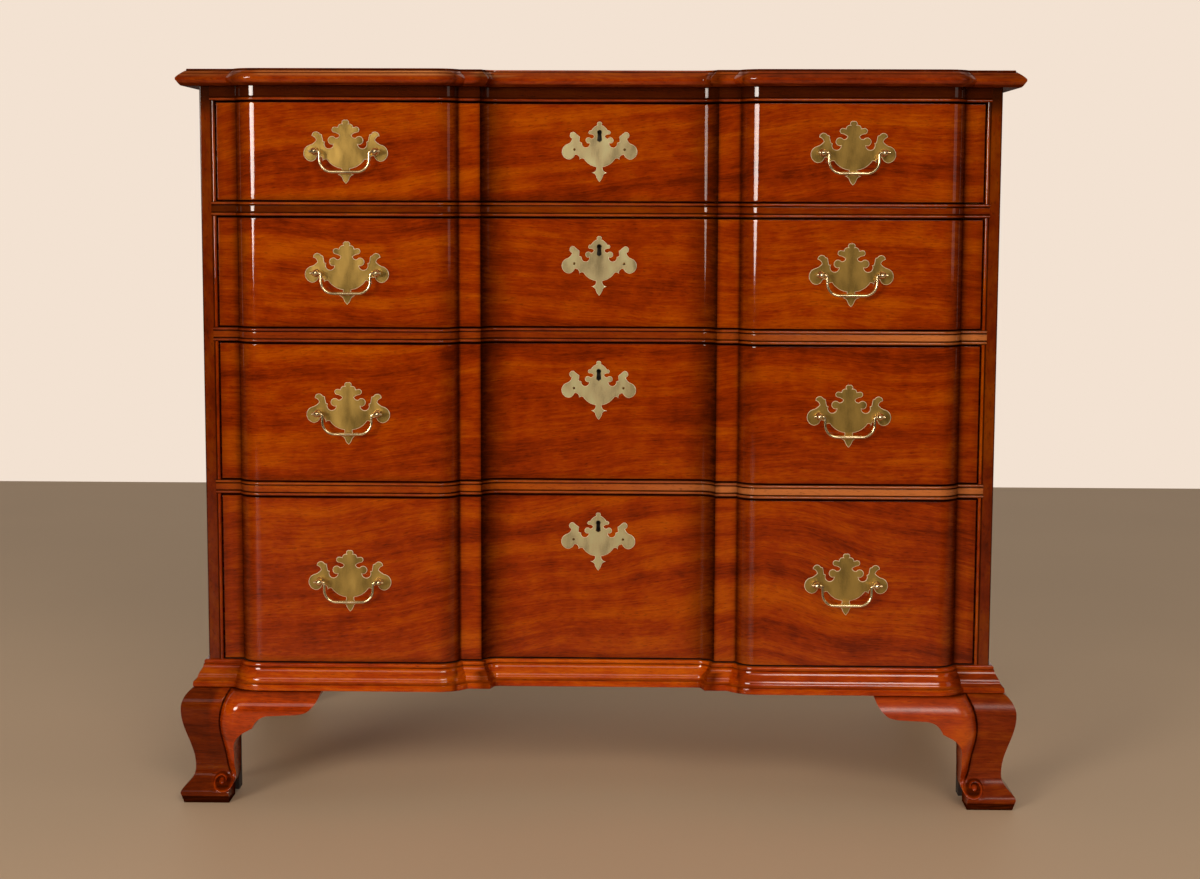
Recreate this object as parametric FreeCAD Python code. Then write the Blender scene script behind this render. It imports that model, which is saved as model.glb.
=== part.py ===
"""Block front chest of four graduated drawers on ogee bracket feet.

All sizes are in millimetres. While the pieces are made, y = 0 is the plane of the case's front
corners, +y runs to the back and z = 0 is the floor; save() then centres the chest front to back.
"""
import FreeCAD, Part
import math
import os

Vector = FreeCAD.Vector
Z_AXIS = Vector(0, 0, 1)

# Case
case_width = 952.0
case_depth = 483.0
side_thickness = 18.0
bottom_thickness = 20.0
back_thickness = 12.0
back_rabbet = 9.0
rail_height = 17.2
top_rail_height = 17.4
rail_depth = 62.0
rear_rail_depth = 40.0
dado_depth = 5.8
runner_width = 34.0
dust_panel_thickness = 6.0
dust_panel_tongue = 8.0

# Beads that frame each drawer opening
bead_width = 4.2
bead_proud = 1.5
bead_steps = 4

# Openings and drawer gaps, top drawer first
opening_heights = (118.7, 132.9, 168.0, 204.4)
drawer_side_gap = 1.6
drawer_top_gap = 1.8
drawer_bottom_gap = 1.2
running_gap = 0.3

# Blocked front: a sunk centre, a flat strip and a raised block on each half
recess_half = 142.0
recess_depth = 16.2
recess_lip = 1.5
strip_width = 25.5
block_rise = 18.8
block_margin = 43.0
return_angle = 72.0

# Top
top_thickness = 20.0
top_side_overhang = 25.5
top_front_overhang = 15.0
top_back_overhang = 6.0
top_step = 2.4
top_step_inset = 11.2
top_nose_height = 7.8
top_under_inset = 5.4
top_slope_steps = 4

# Base moulding
base_height = 31.4
base_projection = 17.0
base_bead_height = 5.0
base_bead_projection = 5.0
base_fascia_height = 7.4

# Ogee bracket feet
foot_height = 141.8
foot_stock = 12.0
bulge_projection = 29.8
bulge_drop = 24.8
bulge_tuck = 28.8
waist_projection = 15.4
waist_height = 43.5
toe_projection = 31.5
toe_height = 12.5
pad_projection = 27.8
toe_quickness = 1.5
ogee_steps = 5
saw_overrun = 1.0
wing_length = 142.6
wing_drop = 29.0
cusp_inset = 60.0
cusp_drop = 44.3
ankle_inset = 34.5
pad_inset = 27.0
rear_foot_extra = 24.0
foot_block_angle = 80.0
foot_block_margin = 11.5
foot_block_spread = 0.45
glue_block_size = 20.0
glue_block_lift = 6.0
rear_bracket_thickness = 18.0
rear_bracket_length = 84.0
rear_bracket_foot = 30.0

# Drawers
front_stock = 30.0
drawer_side_thickness = 11.0
drawer_back_thickness = 11.0
drawer_back_clearance = 8.0
drawer_side_drop = 4.0
drawer_bottom_thickness = 7.0
drawer_bottom_lift = 11.0
groove_depth = 6.0
dovetail_length = 18.0
dovetail_pitch = 30.0
dovetail_flare = 3.0

# Pulls
pull_spacing = 598.4
plate_width = 100.0
post_spacing = 71.6
plate_thickness = 1.6
ball_radius = 4.0
ball_reach = 13.0
neck_radius = 2.6
collar_radius = 4.6
collar_thickness = 2.0
bolt_radius = 2.2
bolt_clearance = 0.1
nut_size = 9.0
nut_thickness = 4.0
bolt_tail = 2.0
bail_radius = 1.7
grip_radius = 2.2
pin_clearance = 0.08
bail_drop = 24.2
bail_corner = 14.5
bail_elbow = 2.5
pin_overrun = 2.2

# Escutcheons and locks
escutcheon_width = 90.0
escutcheon_height = 31.8
escutcheon_thickness = 1.2
escutcheon_top_gap = 22.2
nail_spacing = 60.0
nail_radius = 0.7
nail_head_radius = 1.5
nail_head_height = 0.7
nail_length = 9.0
keyhole_radius = 2.9
keyhole_waist = 2.0
keyhole_depth = 11.8
keyhole_height = 20.4
lock_width = 64.0
lock_height = 50.0
lock_thickness = 10.0
lock_mortise = 5.0
lock_top_gap = 3.0
bolt_width = 22.0
lock_bolt_height = 16.0
lock_bolt_thickness = 5.0
lock_slot_gap = 0.2

# Screws that hold the top
screw_radius = 2.2
screw_head_radius = 4.4
screw_head_height = 2.6
screw_recess = 3.0
screw_bite = 11.0
screw_places = (-300.0, 0.0, 300.0)

# Half outline of a pull's backplate about the line of its posts, from the top finial to the
# bottom one: each entry is the middle of an arc, or None for a straight run, and the arc's end.
plate_outline = (
    (None, (0.0, 37.5)), ((4.2, 35.4), (3.8, 33.0)), ((8.0, 31.6), (9.2, 28.7)),
    (None, (11.9, 29.2)), ((16.6, 25.6), (14.3, 22.6)), ((10.6, 21.7), (7.2, 19.4)),
    ((8.8, 16.9), (12.3, 16.2)), ((21.3, 13.2), (14.8, 8.4)), ((20.2, 3.4), (24.9, 11.4)),
    (None, (27.2, 12.2)), (None, (28.7, 20.2)), (None, (31.2, 20.9)),
    ((37.2, 23.4), (40.7, 18.4)), ((37.4, 16.7), (35.4, 13.2)), ((38.2, 10.4), (42.4, 8.0)),
    ((50.9, -1.4), (42.3, -12.0)), ((36.9, -9.9), (34.4, -5.6)), ((30.2, -6.0), (28.0, -11.9)),
    ((26.0, -9.9), (22.8, -9.6)), ((14.6, -17.4), (5.0, -20.6)), ((5.4, -24.8), (10.0, -27.6)),
    ((6.4, -29.3), (4.6, -31.2)), ((3.2, -34.8), (0.0, -38.6)))

# The same for an escutcheon, about the line of its nails
escutcheon_outline = (
    (None, (0.0, 32.8)), ((2.9, 30.9), (2.4, 29.0)), ((6.4, 26.6), (9.8, 22.4)),
    ((13.1, 20.4), (11.8, 18.0)), ((8.9, 17.7), (6.3, 16.0)), ((7.4, 13.9), (10.2, 12.9)),
    ((16.6, 11.0), (11.6, 7.6)), ((15.8, 2.4), (21.0, 7.9)), (None, (24.2, 9.2)),
    (None, (23.6, 15.2)), ((28.0, 18.6), (30.0, 20.4)), ((35.2, 18.4), (32.6, 12.9)),
    ((34.2, 9.4), (38.4, 6.3)), ((45.0, -3.4), (36.2, -11.9)), ((31.9, -9.9), (29.3, -6.2)),
    ((26.0, -6.8), (24.0, -12.2)), ((22.2, -10.7), (18.5, -11.1)), ((12.4, -17.4), (3.8, -20.6)),
    ((4.6, -25.0), (9.4, -27.3)), ((6.2, -28.7), (4.3, -30.3)), ((3.2, -33.8), (0.0, -38.4)))

# What follows from the sizes above
half_width = case_width / 2
opening_half = half_width - side_thickness
rail_half = opening_half + dado_depth
block_outer = half_width - block_margin
block_inner = recess_half + strip_width
turn = math.radians(return_angle)
block_radius = block_rise / (1 - math.cos(turn))
recess_radius = (recess_depth - recess_lip * math.sin(turn)) / (1 - math.cos(turn))
recess_flat = recess_half - recess_radius * math.sin(turn) - recess_lip * math.cos(turn)
bottom_top = foot_height + base_height
bottom_under = bottom_top - bottom_thickness
top_rail_bottom = bottom_top + sum(opening_heights) + 3 * rail_height
top_under = top_rail_bottom + top_rail_height
back_front = case_depth - back_thickness
opening_bottoms = []
level = top_rail_bottom
for height in opening_heights:
    opening_bottoms.append(level - height)
    level -= height + rail_height


def save(node, *solids):
    """Write one node, with the chest centred front to back."""
    shape = solids[0] if len(solids) == 1 else Part.makeCompound(solids)
    shape = shape.translated(Vector(0, centre_shift, 0))
    shape.exportStep("parts/%s.step" % node)


def one(shape):
    """The single solid of a boolean's result, with its flush faces merged."""
    return shape.removeSplitter().Solids[0]


def board(x0, x1, y0, y1, z0, z1):
    """A rectangular board between two corners."""
    return Part.makeBox(x1 - x0, y1 - y0, z1 - z0, Vector(x0, y0, z0))


def rod(radius, start, end):
    """A round rod between two points."""
    run = end - start
    return Part.makeCylinder(radius, run.Length, start, run)


def mirrored(shape):
    """The same piece on the other side of the chest."""
    return shape.mirror(Vector(0, 0, 0), Vector(1, 0, 0))


def outline_edges(pieces, place):
    """Edges of (start, middle or None, end) pieces; place turns a plan point into a Vector."""
    edges = []
    for start, middle, end in pieces:
        if middle is None:
            edges.append(Part.LineSegment(place(start), place(end)).toShape())
        else:
            edges.append(Part.Arc(place(start), place(middle), place(end)).toShape())
    return edges


def reversed_pieces(pieces):
    """The same run of pieces, walked from its other end."""
    return [(end, middle, start) for start, middle, end in reversed(pieces)]


def flipped(pieces):
    """The pieces mirrored in x, still walked from low x to high x."""
    def flip(point):
        return None if point is None else (-point[0], point[1])
    return [(flip(end), flip(middle), flip(start)) for start, middle, end in reversed(pieces)]


def on_circle(centre, radius, angle):
    """Plan point on a circle, with the angle measured from the front towards +x."""
    return (centre[0] + radius * math.sin(angle), centre[1] - radius * math.cos(angle))


def block_end(edge_x, side, offset):
    """The rounded end of a raised block whose foot is at edge_x, as a piece from edge to crown."""
    centre = (edge_x - side * block_radius * math.sin(turn), block_radius - block_rise)
    radius = block_radius + offset
    start = side * math.acos((offset + centre[1]) / radius)
    return (on_circle(centre, radius, start), on_circle(centre, radius, start / 2),
            on_circle(centre, radius, 0.0))


def half_front(offset, end):
    """Right half of the front line, moved forward by offset, from the centre to x = end."""
    hollow = recess_radius - offset
    centre_y = recess_depth - recess_radius
    sunk = (recess_flat, recess_depth - offset)
    middle = (recess_flat + hollow * math.sin(turn / 2), centre_y + hollow * math.cos(turn / 2))
    rise = (recess_flat + hollow * math.sin(turn), centre_y + hollow * math.cos(turn))
    lip = (rise[0] + (rise[1] + offset) / math.tan(turn), -offset)
    inner = block_end(block_inner, -1, offset)
    outer = block_end(block_outer, 1, offset)
    return [((0.0, sunk[1]), None, sunk), (sunk, middle, rise), (rise, None, lip),
            (lip, None, inner[0]), inner, (inner[2], None, outer[2]),
            (outer[2], outer[1], outer[0]), (outer[0], None, (end, -offset))]


def front_line(offset, end):
    """The whole front line from x = -end to x = end."""
    right = half_front(offset, end)
    left = flipped(right)
    crossing = (left[-1][0], None, right[0][2])
    return left[:-1] + [crossing] + right[1:]


def closed_plan(front, back_points, z):
    """Closed wire of a front line and the straight run back from its end to its start."""
    points = [front[-1][2]] + list(back_points) + [front[0][0]]
    pieces = list(front) + [(a, None, b) for a, b in zip(points, points[1:])]
    return Part.Wire(outline_edges(pieces, lambda p: Vector(p[0], p[1], z)))


def stacked(wires):
    """Solid through level wires that all have the same edges in the same order."""
    return Part.makeLoft(wires, True, True)


def slab(wire, height):
    """A flat wire raised into a solid."""
    return Part.Face(wire).extrude(Vector(0, 0, height))


def rail_levels(z0, z1, beads):
    """Levels (z, offset) of a rail's face, with a bead at its foot, its head or both."""
    levels = []
    for low in ([z0] if "foot" in beads else []) + ([z1 - bead_width] if "head" in beads else []):
        for step in range(bead_steps + 1):
            share = step / bead_steps
            levels.append((low + bead_width * share, bead_proud * math.sin(math.pi * share)))
    if "foot" not in beads:
        levels.insert(0, (z0, 0.0))
    if "head" not in beads:
        levels.append((z1, 0.0))
    return levels


def rail(z0, z1, beads):
    """A blocked rail, housed in the sides."""
    back = [(rail_half, rail_depth), (-rail_half, rail_depth)]
    return stacked([closed_plan(front_line(offset, rail_half), back, z)
                    for z, offset in rail_levels(z0, z1, beads)])


def dust_panel(z0):
    """A dust panel, tongued into the rail, runners and rear rail around it."""
    half = rail_half - runner_width + dust_panel_tongue
    low = z0 + (rail_height - dust_panel_thickness) / 2
    return board(-half, half, rail_depth - dust_panel_tongue,
                 back_front - rear_rail_depth + dust_panel_tongue, low, low + dust_panel_thickness)


def side_board():
    """The right side of the case with its beads, dadoes and rear rabbet."""
    body = board(opening_half, half_width, 0, case_depth, foot_height, top_under)
    body = body.cut(board(opening_half, opening_half + back_rabbet, back_front, case_depth,
                          foot_height, top_under))
    slots = [(bottom_under, bottom_top), (top_rail_bottom, top_under)]
    slots += [(low - rail_height, low) for low in opening_bottoms[:-1]]
    for low, high in slots:
        body = body.cut(board(opening_half, rail_half, 0, back_front, low, high))
    for low, height in zip(opening_bottoms, opening_heights):
        middle = opening_half + bead_width / 2
        bead = Part.Arc(Vector(opening_half, 0, low), Vector(middle, -bead_proud, low),
                        Vector(opening_half + bead_width, 0, low)).toShape()
        chord = Part.LineSegment(Vector(opening_half + bead_width, 0, low),
                                 Vector(opening_half, 0, low)).toShape()
        body = body.fuse(slab(Part.Wire([bead, chord]), height))
    return one(body)


def top_levels():
    """Levels (z, inset from the nose) of the top's moulded edge, from below upwards."""
    nose = top_under + top_nose_height
    shoulder = top_under + top_thickness - top_step
    levels = [(top_under, top_under_inset), (nose - 3.4, 1.8), (nose - 1.2, 0.2), (nose + 1.0, 0.0)]
    for step in range(1, top_slope_steps + 1):
        share = step / top_slope_steps
        levels.append((nose + 1.0 + (shoulder - nose - 1.0) * share,
                       (top_step_inset - 1.0) * share ** 1.3))
    levels.append((shoulder + 0.2, top_step_inset))
    levels.append((top_under + top_thickness, top_step_inset + 0.8))
    return levels


def top_board():
    """The top, moulded at the front and sides and square at the back."""
    back = case_depth + top_back_overhang
    wires = []
    for z, inset in top_levels():
        end = half_width + top_side_overhang - inset
        front = front_line(top_front_overhang - inset, end)
        wires.append(closed_plan(front, [(end, back), (-end, back)], z))
    return stacked(wires)


def base_levels():
    """Levels (z, projection) of the base moulding, from below upwards."""
    fascia = foot_height + base_fascia_height
    neck = bottom_top - base_bead_height
    levels = [(foot_height, base_projection - 0.6), (foot_height + 1.6, base_projection),
              (fascia - 1.4, base_projection - 0.5), (fascia, base_projection - 1.8),
              (fascia + 3.2, base_projection - 4.9)]
    for share in (0.3, 0.6, 1.0):
        swell = 0.5 - 0.5 * math.cos(math.pi * share)
        low = base_projection - 4.9
        levels.append((fascia + 3.2 + (neck - fascia - 3.2) * share,
                       low + (base_bead_projection + 0.6 - low) * swell))
    levels += [(neck + 0.6, base_bead_projection - 0.7), (neck + 1.8, base_bead_projection),
               (bottom_top - 1.2, base_bead_projection - 0.2),
               (bottom_top, base_bead_projection - 1.8)]
    return levels


def base_front():
    """The front base moulding, following the blocked front and mitred at both ends."""
    wires = []
    for z, projection in base_levels():
        outer = front_line(projection, half_width + projection)
        inner = reversed_pieces(front_line(0.0, half_width))
        pieces = outer + [(outer[-1][2], None, inner[0][0])] + inner
        pieces.append((inner[-1][2], None, outer[0][0]))
        wires.append(Part.Wire(outline_edges(pieces, lambda p: Vector(p[0], p[1], z))))
    return stacked(wires)


def base_side():
    """The right side's base moulding, mitred to the front one."""
    wires = []
    for z, projection in base_levels():
        outer = half_width + projection
        wires.append(Part.makePolygon([Vector(half_width, 0, z), Vector(outer, -projection, z),
                                       Vector(outer, case_depth, z),
                                       Vector(half_width, case_depth, z), Vector(half_width, 0, z)]))
    return stacked(wires)


def ogee_levels():
    """Levels (z, projection) of a foot's ogee, from the floor upwards."""
    def swing(low, high, share):
        return low + (high - low) * (0.5 - 0.5 * math.cos(math.pi * share))
    bulge_height = foot_height - bulge_drop
    levels = [(0.0, pad_projection)]
    for step in range(ogee_steps):
        share = 1 - step / ogee_steps
        levels.append((waist_height - (waist_height - toe_height) * share,
                       swing(waist_projection, toe_projection, share ** toe_quickness)))
    for step in range(ogee_steps + 1):
        share = step / ogee_steps
        levels.append((waist_height + (bulge_height - waist_height) * share,
                       swing(waist_projection, bulge_projection, share)))
    for step in range(1, ogee_steps + 1):
        rise = bulge_drop * step / ogee_steps
        levels.append((bulge_height + rise,
                       bulge_projection * math.sqrt(1 - (rise / bulge_tuck) ** 2)))
    return levels


def foot_face_stock():
    """The right front foot's face before its bracket shape is sawn: ogee, block and mitre."""
    angle = math.radians(foot_block_angle)
    radius = block_rise / (1 - math.cos(angle))
    back = -foot_stock
    wires = []
    for z, out in ogee_levels():
        crease = block_outer + foot_block_margin + foot_block_spread * out
        centre = (crease - radius * math.sin(angle), -out - block_rise + radius)
        tip = half_width - wing_length - foot_stock
        pieces = [((half_width + back, -back), None, (half_width + out, -out)),
                  ((half_width + out, -out), None, (crease, -out)),
                  ((crease, -out), on_circle(centre, radius, angle / 2),
                   on_circle(centre, radius, 0.0)),
                  (on_circle(centre, radius, 0.0), None, (tip, -out - block_rise)),
                  ((tip, -out - block_rise), None, (tip, -back)),
                  ((tip, -back), None, (half_width + back, -back))]
        wires.append(Part.Wire(outline_edges(pieces, lambda p: Vector(p[0], p[1], z))))
    return stacked(wires)


def foot_flank_stock(front):
    """A right foot's flank before sawing: mitred at a front foot, square at a rear one."""
    inner = half_width - foot_stock
    reach = wing_length + foot_stock + rear_foot_extra
    wires = []
    for z, out in ogee_levels():
        outer = half_width + out
        if front:
            plan = [(inner, foot_stock), (outer, -out), (outer, reach), (inner, reach)]
        else:
            plan = [(inner, case_depth - reach), (outer, case_depth - reach),
                    (outer, case_depth), (inner, case_depth)]
        points = [Vector(x, y, z) for x, y in plan]
        wires.append(Part.makePolygon(points + points[:1]))
    return stacked(wires)


def bracket_face(place, extra):
    """Sawn outline of a bracket as a face; place puts (inset from the corner, height) in space."""
    outside = -toe_projection - saw_overrun
    above = foot_height + saw_overrun
    wing = wing_length + extra
    cusp = (cusp_inset + extra, foot_height - cusp_drop)
    ankle = ankle_inset + extra
    run = [((outside, 0.0), None, (outside, above)), ((outside, above), None, (wing, above)),
           ((wing, above), None, (wing, foot_height)),
           ((wing, foot_height), (wing - 5.6, foot_height - wing_drop + 16.5),
            (wing - 16.4, foot_height - wing_drop + 5.6)),
           ((wing - 16.4, foot_height - wing_drop + 5.6),
            (wing - 23.0, foot_height - wing_drop + 3.4),
            (wing - 31.0, foot_height - wing_drop + 2.3)),
           ((wing - 31.0, foot_height - wing_drop + 2.3), None,
            (cusp[0] + 21.0, foot_height - wing_drop + 0.8)),
           ((cusp[0] + 21.0, foot_height - wing_drop + 0.8),
            (cusp[0] + 8.0, cusp[1] + 11.4), cusp),
           (cusp, None, (ankle + 13.5, cusp[1] - 6.6)),
           ((ankle + 13.5, cusp[1] - 6.6), (ankle + 4.6, cusp[1] - 15.4),
            (ankle + 1.0, cusp[1] - 32.0)),
           ((ankle + 1.0, cusp[1] - 32.0), None, (ankle, 32.0)),
           ((ankle, 32.0), (ankle - 3.0, 22.0), (pad_inset + extra, 15.0)),
           ((pad_inset + extra, 15.0), None, (pad_inset + extra, 0.0)),
           ((pad_inset + extra, 0.0), None, (outside, 0.0))]
    return Part.Face(Part.Wire(outline_edges(run, place)))


def foot_face():
    """The right front foot's face."""
    front = -block_rise - toe_projection - saw_overrun
    depth = foot_stock + saw_overrun - front
    saw = bracket_face(lambda p: Vector(half_width - p[0], front, p[1]), 0.0)
    return one(foot_face_stock().common(saw.extrude(Vector(0, depth, 0))))


def foot_flank(front):
    """A right foot's flank, at the front or the rear."""
    inner = half_width - foot_stock - saw_overrun
    width = foot_stock + toe_projection + 2 * saw_overrun
    if front:
        saw = bracket_face(lambda p: Vector(inner, p[0], p[1]), 0.0)
    else:
        saw = bracket_face(lambda p: Vector(inner, case_depth - p[0], p[1]), rear_foot_extra)
    return one(foot_flank_stock(front).common(saw.extrude(Vector(width, 0, 0))))


def rear_bracket():
    """The plain bracket across the back of the right rear foot."""
    outer = half_width - foot_stock
    shape = [(outer, 0), (outer - rear_bracket_foot, 0),
             (outer - rear_bracket_foot - 4.0, foot_height / 2),
             (outer - rear_bracket_length, foot_height), (outer, foot_height)]
    points = [Vector(x, case_depth - rear_bracket_thickness, z) for x, z in shape]
    face = Part.Face(Part.makePolygon(points + points[:1]))
    return face.extrude(Vector(0, rear_bracket_thickness, 0))


def glue_block(y0):
    """A square glue block inside a right foot, from near the floor to the side above it."""
    outer = half_width - foot_stock
    return board(outer - glue_block_size, outer, y0, y0 + glue_block_size,
                 glue_block_lift, foot_height)


def screw(x, y, clearance=0.0):
    """A countersunk screw up through a top rail into the top, or its hole."""
    foot = Vector(x, y, top_rail_bottom + screw_recess)
    head = Part.makeCone(screw_head_radius + clearance, screw_radius + clearance,
                         screw_head_height, foot, Z_AXIS)
    tip = Vector(x, y, top_under + screw_bite)
    shank = rod(screw_radius + clearance, foot, tip)
    solid = head.fuse(shank)
    if clearance:
        below = rod(screw_head_radius + clearance, Vector(x, y, top_rail_bottom - 1.0), foot)
        solid = solid.fuse(below)
    return one(solid)


def symmetric_face(half, width, centre, y):
    """Face of a plate, width wide, whose right half outline is drawn about centre, at depth y."""
    scale = width / 2 / max(point[0] for piece in half for point in piece if point)
    right = []
    last = half[0][1]
    for middle, end in half[1:]:
        right.append((last, middle, end))
        last = end
    left = reversed_pieces([((-a[0], a[1]), None if m is None else (-m[0], m[1]), (-b[0], b[1]))
                            for a, m, b in right])
    return Part.Face(Part.Wire(outline_edges(
        right + left,
        lambda p: Vector(centre[0] + p[0] * scale, y, centre[1] + p[1] * scale))))


def keyhole_tool(z, y0, y1):
    """A keyhole's cutter, centred on x = 0, with its round top at height z."""
    start = Vector(0, y0, z)
    barrel = rod(keyhole_radius, start, Vector(0, y1, z))
    slot = Part.Face(Part.makePolygon([
        Vector(-keyhole_waist, y0, z), Vector(-keyhole_radius, y0, z - keyhole_depth + 2.0),
        Vector(0, y0, z - keyhole_depth), Vector(keyhole_radius, y0, z - keyhole_depth + 2.0),
        Vector(keyhole_waist, y0, z), Vector(-keyhole_waist, y0, z)]))
    return barrel.fuse(slot.extrude(Vector(0, y1 - y0, 0)))


def dovetails(x0, x1, y_root, y_tip, z0, z1):
    """Tails along a board's end, widening towards their tips."""
    count = max(2, round((z1 - z0) / dovetail_pitch))
    pitch = (z1 - z0) / count
    tails = []
    for number in range(count):
        middle = z0 + pitch * (number + 0.5)
        root = pitch * 0.3
        tip = root + dovetail_flare
        points = [Vector(x0, y_root, middle - root), Vector(x0, y_root, middle + root),
                  Vector(x0, y_tip, middle + tip), Vector(x0, y_tip, middle - tip)]
        face = Part.Face(Part.makePolygon(points + points[:1]))
        tails.append(face.extrude(Vector(x1 - x0, 0, 0)))
    return tails


def make_case():
    """Write every fixed piece of the case."""
    side = side_board()
    save("side_right", side)
    save("side_left", mirrored(side))
    plan = closed_plan(front_line(0.0, rail_half), [(rail_half, back_front), (-rail_half, back_front)],
                       bottom_under)
    save("case_bottom", slab(plan, bottom_thickness))
    back_half = opening_half + back_rabbet
    save("back_panel", board(-back_half, back_half, back_front, case_depth, bottom_under, top_under))

    rear_y = back_front - rear_rail_depth
    rear_top = board(-rail_half, rail_half, rear_y, back_front, top_rail_bottom, top_under)
    places = [(x, y) for y in (rail_depth / 2, rear_y + rear_rail_depth / 2) for x in screw_places]
    top = top_board()
    front_top = rail(top_rail_bottom, top_under, ("foot",))
    for x, y in places:
        hole = screw(x, y, bolt_clearance)
        top = top.cut(hole)
        front_top = front_top.cut(hole)
        rear_top = rear_top.cut(hole)
    save("top", one(top))
    save("top_rail", one(front_top))
    save("case_screws", *[screw(x, y) for x, y in places])

    runners = []
    panels = []
    rear = [one(rear_top)]
    for number, low in enumerate(opening_bottoms[:-1], 1):
        z0 = low - rail_height
        panel = dust_panel(z0)
        save("drawer_rail_%d" % number, one(rail(z0, low, ("foot", "head")).cut(panel)))
        inner = rail_half - runner_width
        runner = one(board(inner, rail_half, rail_depth, rear_y, z0, low).cut(panel))
        runners += [runner, mirrored(runner)]
        panels.append(panel)
        rear.append(one(board(-rail_half, rail_half, rear_y, back_front, z0, low).cut(panel)))
    save("drawer_runners", *runners)
    save("dust_panels", *panels)
    save("rear_rails", *rear)


def make_base(front_face):
    """Write the base mouldings, the feet and their blocks."""
    save("base_moulding_front", base_front())
    side = base_side()
    save("base_moulding_right", side)
    save("base_moulding_left", mirrored(side))
    pieces = {"foot_front_%s_face": front_face, "foot_front_%s_flank": foot_flank(True),
              "foot_rear_%s_flank": foot_flank(False)}
    for name, piece in pieces.items():
        save(name % "right", piece)
        save(name % "left", mirrored(piece))
    bracket = rear_bracket()
    save("rear_foot_backs", bracket, mirrored(bracket))
    blocks = [glue_block(foot_stock),
              glue_block(case_depth - rear_bracket_thickness - glue_block_size)]
    save("foot_glue_blocks", *(blocks + [mirrored(block) for block in blocks]))


def post(x, z):
    """A pull's post: ball, neck, collar and bolt, bored for the bail's pin."""
    face = -block_rise - plate_thickness
    ball_y = face - ball_reach
    ball = Part.makeSphere(ball_radius, Vector(x, ball_y, z))
    neck = rod(neck_radius, Vector(x, ball_y, z), Vector(x, face, z))
    collar = rod(collar_radius, Vector(x, face - collar_thickness, z), Vector(x, face, z))
    bolt = rod(bolt_radius, Vector(x, face, z),
               Vector(x, front_stock + nut_thickness + bolt_tail, z))
    bore = rod(bail_radius + pin_clearance, Vector(x - ball_radius - 1, ball_y, z),
               Vector(x + ball_radius + 1, ball_y, z))
    return one(ball.fuse([neck, collar, bolt]).cut(bore))


def nut(x, z):
    """A square nut behind the drawer front."""
    half = nut_size / 2
    body = board(x - half, x + half, front_stock, front_stock + nut_thickness, z - half, z + half)
    return one(body.cut(rod(bolt_radius, Vector(x, front_stock - 1, z),
                            Vector(x, front_stock + nut_thickness + 1, z))))


def bail(x, z):
    """A swinging bail, thicker at its grip, hanging from the pins through its two posts."""
    y = -block_rise - plate_thickness - ball_reach
    pin = post_spacing / 2 + ball_radius + pin_overrun
    arm = post_spacing / 2 - ball_radius - bail_elbow
    low = -bail_drop
    bend = math.sqrt(0.5)

    elbow = (arm + bail_elbow, -bail_elbow)
    knee = (arm - bail_corner, low + bail_corner)
    right = [((pin, 0.0), None, (elbow[0], 0.0)),
             ((elbow[0], 0.0), (elbow[0] - bail_elbow * bend, elbow[1] + bail_elbow * bend),
              (arm, elbow[1])),
             ((arm, elbow[1]), None, (arm, knee[1])),
             ((arm, knee[1]), (knee[0] + bail_corner * bend, knee[1] - bail_corner * bend),
              (knee[0], low))]
    run = right + [((knee[0], low), None, (-knee[0], low))] + flipped(right)
    path = Part.Wire(outline_edges(run, lambda p: Vector(x + p[0], y, z + p[1])))
    section = Part.Wire(Part.makeCircle(bail_radius, Vector(x + pin, y, z), Vector(1, 0, 0)))
    bar = path.makePipeShell([section], True, True)
    middle = Vector(x, y, z + low)
    swelling = [Part.makeCone(grip_radius, bail_radius, knee[0], middle, Vector(side, 0, 0))
                for side in (-1, 1)]
    return one(bar.fuse(swelling))


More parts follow.
